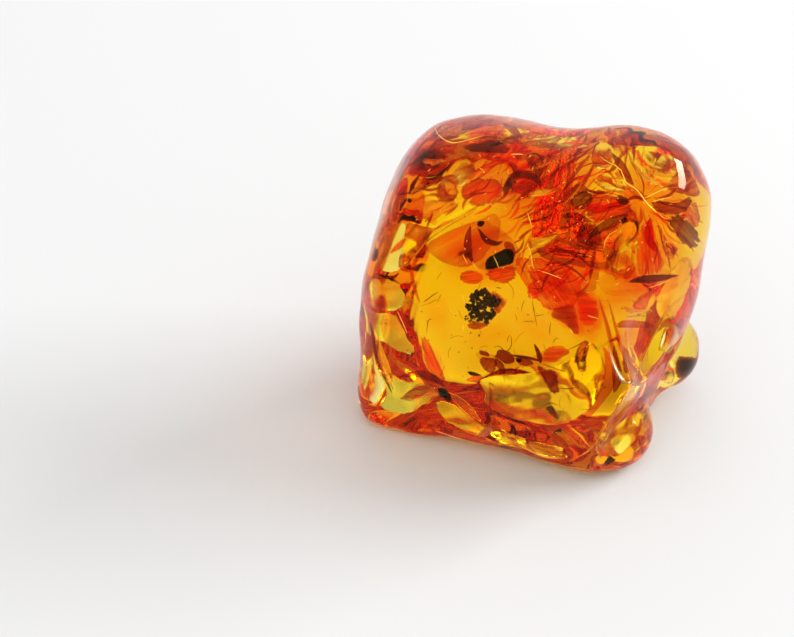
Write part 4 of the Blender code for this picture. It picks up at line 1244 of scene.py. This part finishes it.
# bright crack edges, drawn as gold strands with a painted glow
GLOWING_GOLD_LINES = [
    (3.4, 0.07, [(10.9, 30.2), (11.5, 29.6), (13.3, 28.6), (14.0, 27.0), (15.2, 26.2), (16.0, 25.2), (16.8, 24.2),
                 (17.8, 23.3), (18.6, 22.7), (19.4, 22.5)]),
    (3.4, 0.055, [(16.2, 25.0), (17.4, 25.6), (18.8, 26.2), (19.8, 26.4)]),
    (3.4, 0.05, [(17.0, 24.6), (18.2, 24.9), (19.6, 25.2)]),
    (4.0, 0.05, [(12.9, 21.2), (12.0, 20.6), (11.5, 19.8), (11.4, 19.0)]),
    (3.6, 0.05, [(2.2, 23.4), (2.5, 22.4), (2.8, 21.4)]),
    (3.6, 0.06, [(2.2, 19.6), (2.6, 18.4), (2.8, 17.2), (3.0, 16.6)]),
    (3.6, 0.05, [(3.2, 16.5), (4.8, 16.0), (6.6, 15.3)]),
    (3.0, 0.045, [(-5.6, 13.6), (-5.4, 12.9), (-5.2, 12.1)]),
    (3.0, 0.045, [(-7.1, 12.0), (-6.9, 11.6), (-6.7, 11.3)]),
    (3.0, 0.045, [(-5.6, 18.4), (-5.3, 17.8), (-5.0, 17.2)]),
    (3.0, 0.045, [(-4.4, 17.5), (-4.1, 16.9), (-3.8, 16.4)]),
    (3.0, 0.045, [(-1.9, 18.2), (-1.5, 17.4), (-1.2, 16.6)]),
    (1.4, 0.06, [(-8.9, 33.6), (-8.5, 32.7), (-7.6, 32.0), (-6.7, 31.7), (-5.5, 31.9), (-3.0, 32.6)]),
    (2.4, 0.05, [(9.4, 11.0), (10.0, 10.8), (10.8, 10.6)]),
    (2.4, 0.045, [(7.3, 9.4), (7.5, 9.1), (7.7, 8.8)]),
    (1.6, 0.05, [(16.8, 14.3), (18.0, 14.7), (19.2, 15.2)]),
    (1.0, 0.05, [(-13.4, 11.5), (-12.8, 10.2), (-12.2, 8.8)]),
    (2.4, 0.06, [(0.2, 30.3), (1.0, 30.35), (1.8, 30.3)]),
    (2.4, 0.07, [(-5.55, 9.1), (-5.5, 9.5), (-5.45, 9.9)]),
    (2.0, 0.07, [(-3.0, 33.1), (-2.9, 33.15), (-2.8, 33.1)]),
    (2.4, 0.07, [(-3.1, 28.1), (-3.0, 28.2), (-2.9, 28.2)]),
    # a bright line along the lower edge: a painted highlight on the lip
    (1.0, 0.05, [(-9.0, -2.8), (-6.0, -3.8), (-4.0, -4.3)]),
]
dark_strands = [strand(stops, depth, radius) for depth, radius, stops in DARK_LINES]
make_object("dark_hairs", dark_strands, hair_finish())
glowing_gold_strands = [strand(stops, depth, radius) for depth, radius, stops in GLOWING_GOLD_LINES]
# short glowing gold strands scattered over the upper half: painted sparkles
PAINTED_SPARKLE_REGION = np.array([(-12, 22), (-9, 31), (-2, 34), (12, 31), (20, 31), (23, 26), (20, 15), (4, 12)])
for place in scatter(PAINTED_SPARKLE_REGION, 2.3, 1.1):
    reach = dice.uniform(-0.25, 0.25, 2)
    stops = [tuple(place - reach), tuple(place + 0.1 * reach[::-1]), tuple(place + reach)]
    glowing_gold_strands.append(strand(stops, dice.uniform(1.2, 4.5), dice.uniform(0.02, 0.045), rings=6, around=4))
make_object("gold_edges", glowing_gold_strands, painted_glow_finish())

# %% Specks and the dark patch under the knob
SPECKS = [    # (across, up, size, depth)
    (-7.9, 1.6, 0.9, 1.8), (4.9, -0.4, 0.5, 2.0), (-10.6, 30.0, 0.4, 2.2), (-9.0, 30.2, 0.35, 2.4),
    (-9.6, 29.2, 0.4, 2.0), (-11.9, 24.8, 0.5, 2.0), (12.0, -6.5, 0.9, 1.2), (10.6, -4.9, 0.3, 1.0),
    (10.5, -5.8, 0.3, 1.0), (-4.6, 8.9, 0.25, 3.0), (-3.6, 8.6, 0.25, 3.0),
]
DARK_SPECK = (0.02, 0.01, 0.005, 1.0)
specks = [blocks([seat(across, up, depth)], size * 0.6, size, DARK_SPECK, (0.25, 0.07, 0.02, 1.0))
          for across, up, size, depth in SPECKS]
DUST_REGION = np.array([(-14, 5.0), (-10, 30), (14, 31), (20, 22), (12, 2), (-10, 1)])
dust_spots = scatter(DUST_REGION, 1.6, 0.7)
dust_spots = dust_spots[dice.uniform(0, 1, len(dust_spots)) > 0.6]
dust_depths = dice.uniform(2.0, 9.0, len(dust_spots))
dust = blocks(seats(dust_spots[:, 0], dust_spots[:, 1], dust_depths), 0.05, 0.14, DARK_SPECK, (0.6, 0.2, 0.03, 1.0))
make_object("amber_specks", specks + [dust], CHAR, smooth=False)
# a dark patch just under the skin of the knob
knob_patch = patch([(20.1, 5.9), (21.4, 6.1), (22.6, 5.9), (22.7, 5.0), (21.8, 3.9), (20.6, 3.4), (19.8, 4.5)], 1.0,
                   core=SOOT, rim=RUSSET)
make_object("knob_film", [knob_patch], FILM)

# %% [markdown]
# ## Floor, light and camera
#
# The lump stands on a plain pale floor. One soft key stands low on the right and a little behind, so that it shines
# through the stone, and a wide sky fills from above. The sky is brighter on the right than on the left, which is what
# gives the mirrors inside something dark and something bright to choose from.

# %% The floor
def build_floor():
    """A square of 3 m, a tenth of a millimetre under the lump."""
    mesh = bpy.data.meshes.new("floor")
    half, below = 1.5, -0.0001
    mesh.from_pydata([(-half, -half, below), (half, -half, below), (half, half, below), (-half, half, below)],
                     [], [(0, 1, 2, 3)])
    finish = Finish("pale floor", {"Base Color": (0.74, 0.74, 0.74, 1.0), "Roughness": 0.75})
    mesh.materials.append(finish.material)
    floor = bpy.data.objects.new("floor", mesh)
    SCENE.collection.objects.link(floor)
    print("floor:", 2 * half, "m wide")


build_floor()

# %% The sky and the lamps
BRIGHT_SIDE = Vector((0.45, 0.65, 0.60)).normalized()
DIM_SKY, BRIGHT_SKY = 0.52, 1.06
MIDDLE = Vector((0, 0, 0.015))


def build_sky():
    """Dim in front and on the left, bright on the right and behind."""
    world = bpy.data.worlds.new("studio sky")
    world.use_nodes = True
    tree = world.node_tree
    place = tree.nodes.new("ShaderNodeTexCoord")
    aim = tree.nodes.new("ShaderNodeVectorMath")
    aim.operation = "DOT_PRODUCT"
    aim.inputs[1].default_value = BRIGHT_SIDE
    step = tree.nodes.new("ShaderNodeMapRange")
    step.interpolation_type = "SMOOTHSTEP"
    step.inputs["From Min"].default_value = -0.25
    step.inputs["From Max"].default_value = 0.75
    step.inputs["To Min"].default_value = DIM_SKY
    step.inputs["To Max"].default_value = BRIGHT_SKY
    tree.links.new(place.outputs["Generated"], aim.inputs[0])
    tree.links.new(aim.outputs["Value"], step.inputs["Value"])
    tree.links.new(step.outputs["Result"], tree.nodes["Background"].inputs["Strength"])
    tree.nodes["Background"].inputs["Color"].default_value = WHITE
    SCENE.world = world


def add_lamp(name, place, wide, high, power):
    """A soft rectangle that looks at the middle of the lump."""
    lamp = bpy.data.lights.new(name, "AREA")
    lamp.shape, lamp.size, lamp.size_y, lamp.energy = "RECTANGLE", wide, high, power
    thing = bpy.data.objects.new(name, lamp)
    thing.location = place
    thing.rotation_euler = (MIDDLE - Vector(place)).to_track_quat("-Z", "Y").to_euler()
    SCENE.collection.objects.link(thing)


build_sky()
add_lamp("key", (1.00, 0.36, 0.545), 0.76, 0.22, 13.0)
add_lamp("fill", (-0.30, -0.35, 0.45), 0.35, 0.35, 0.2)
print("sky from", DIM_SKY, "to", BRIGHT_SKY, "and two lamps")


# %% The camera
def build_camera():
    """A long lens at the eye of the board, square to the board."""
    camera = bpy.data.cameras.new("camera")
    camera.lens, camera.sensor_width, camera.clip_start = 100.0, 36.0, 0.01
    thing = bpy.data.objects.new("camera", camera)
    axes = Matrix((ACROSS, UP_BOARD, -INWARD)).transposed().to_4x4()
    thing.matrix_world = Matrix.Translation(Vector(EYE * MM)) @ axes
    SCENE.collection.objects.link(thing)
    SCENE.camera = thing


BOUNCES = 32                             # light turns back many times inside the stone
build_camera()
SCENE.cycles.max_bounces = SCENE.cycles.transmission_bounces = BOUNCES
SCENE.cycles.glossy_bounces = SCENE.cycles.transparent_max_bounces = BOUNCES
SCENE.view_settings.view_transform = "Standard"
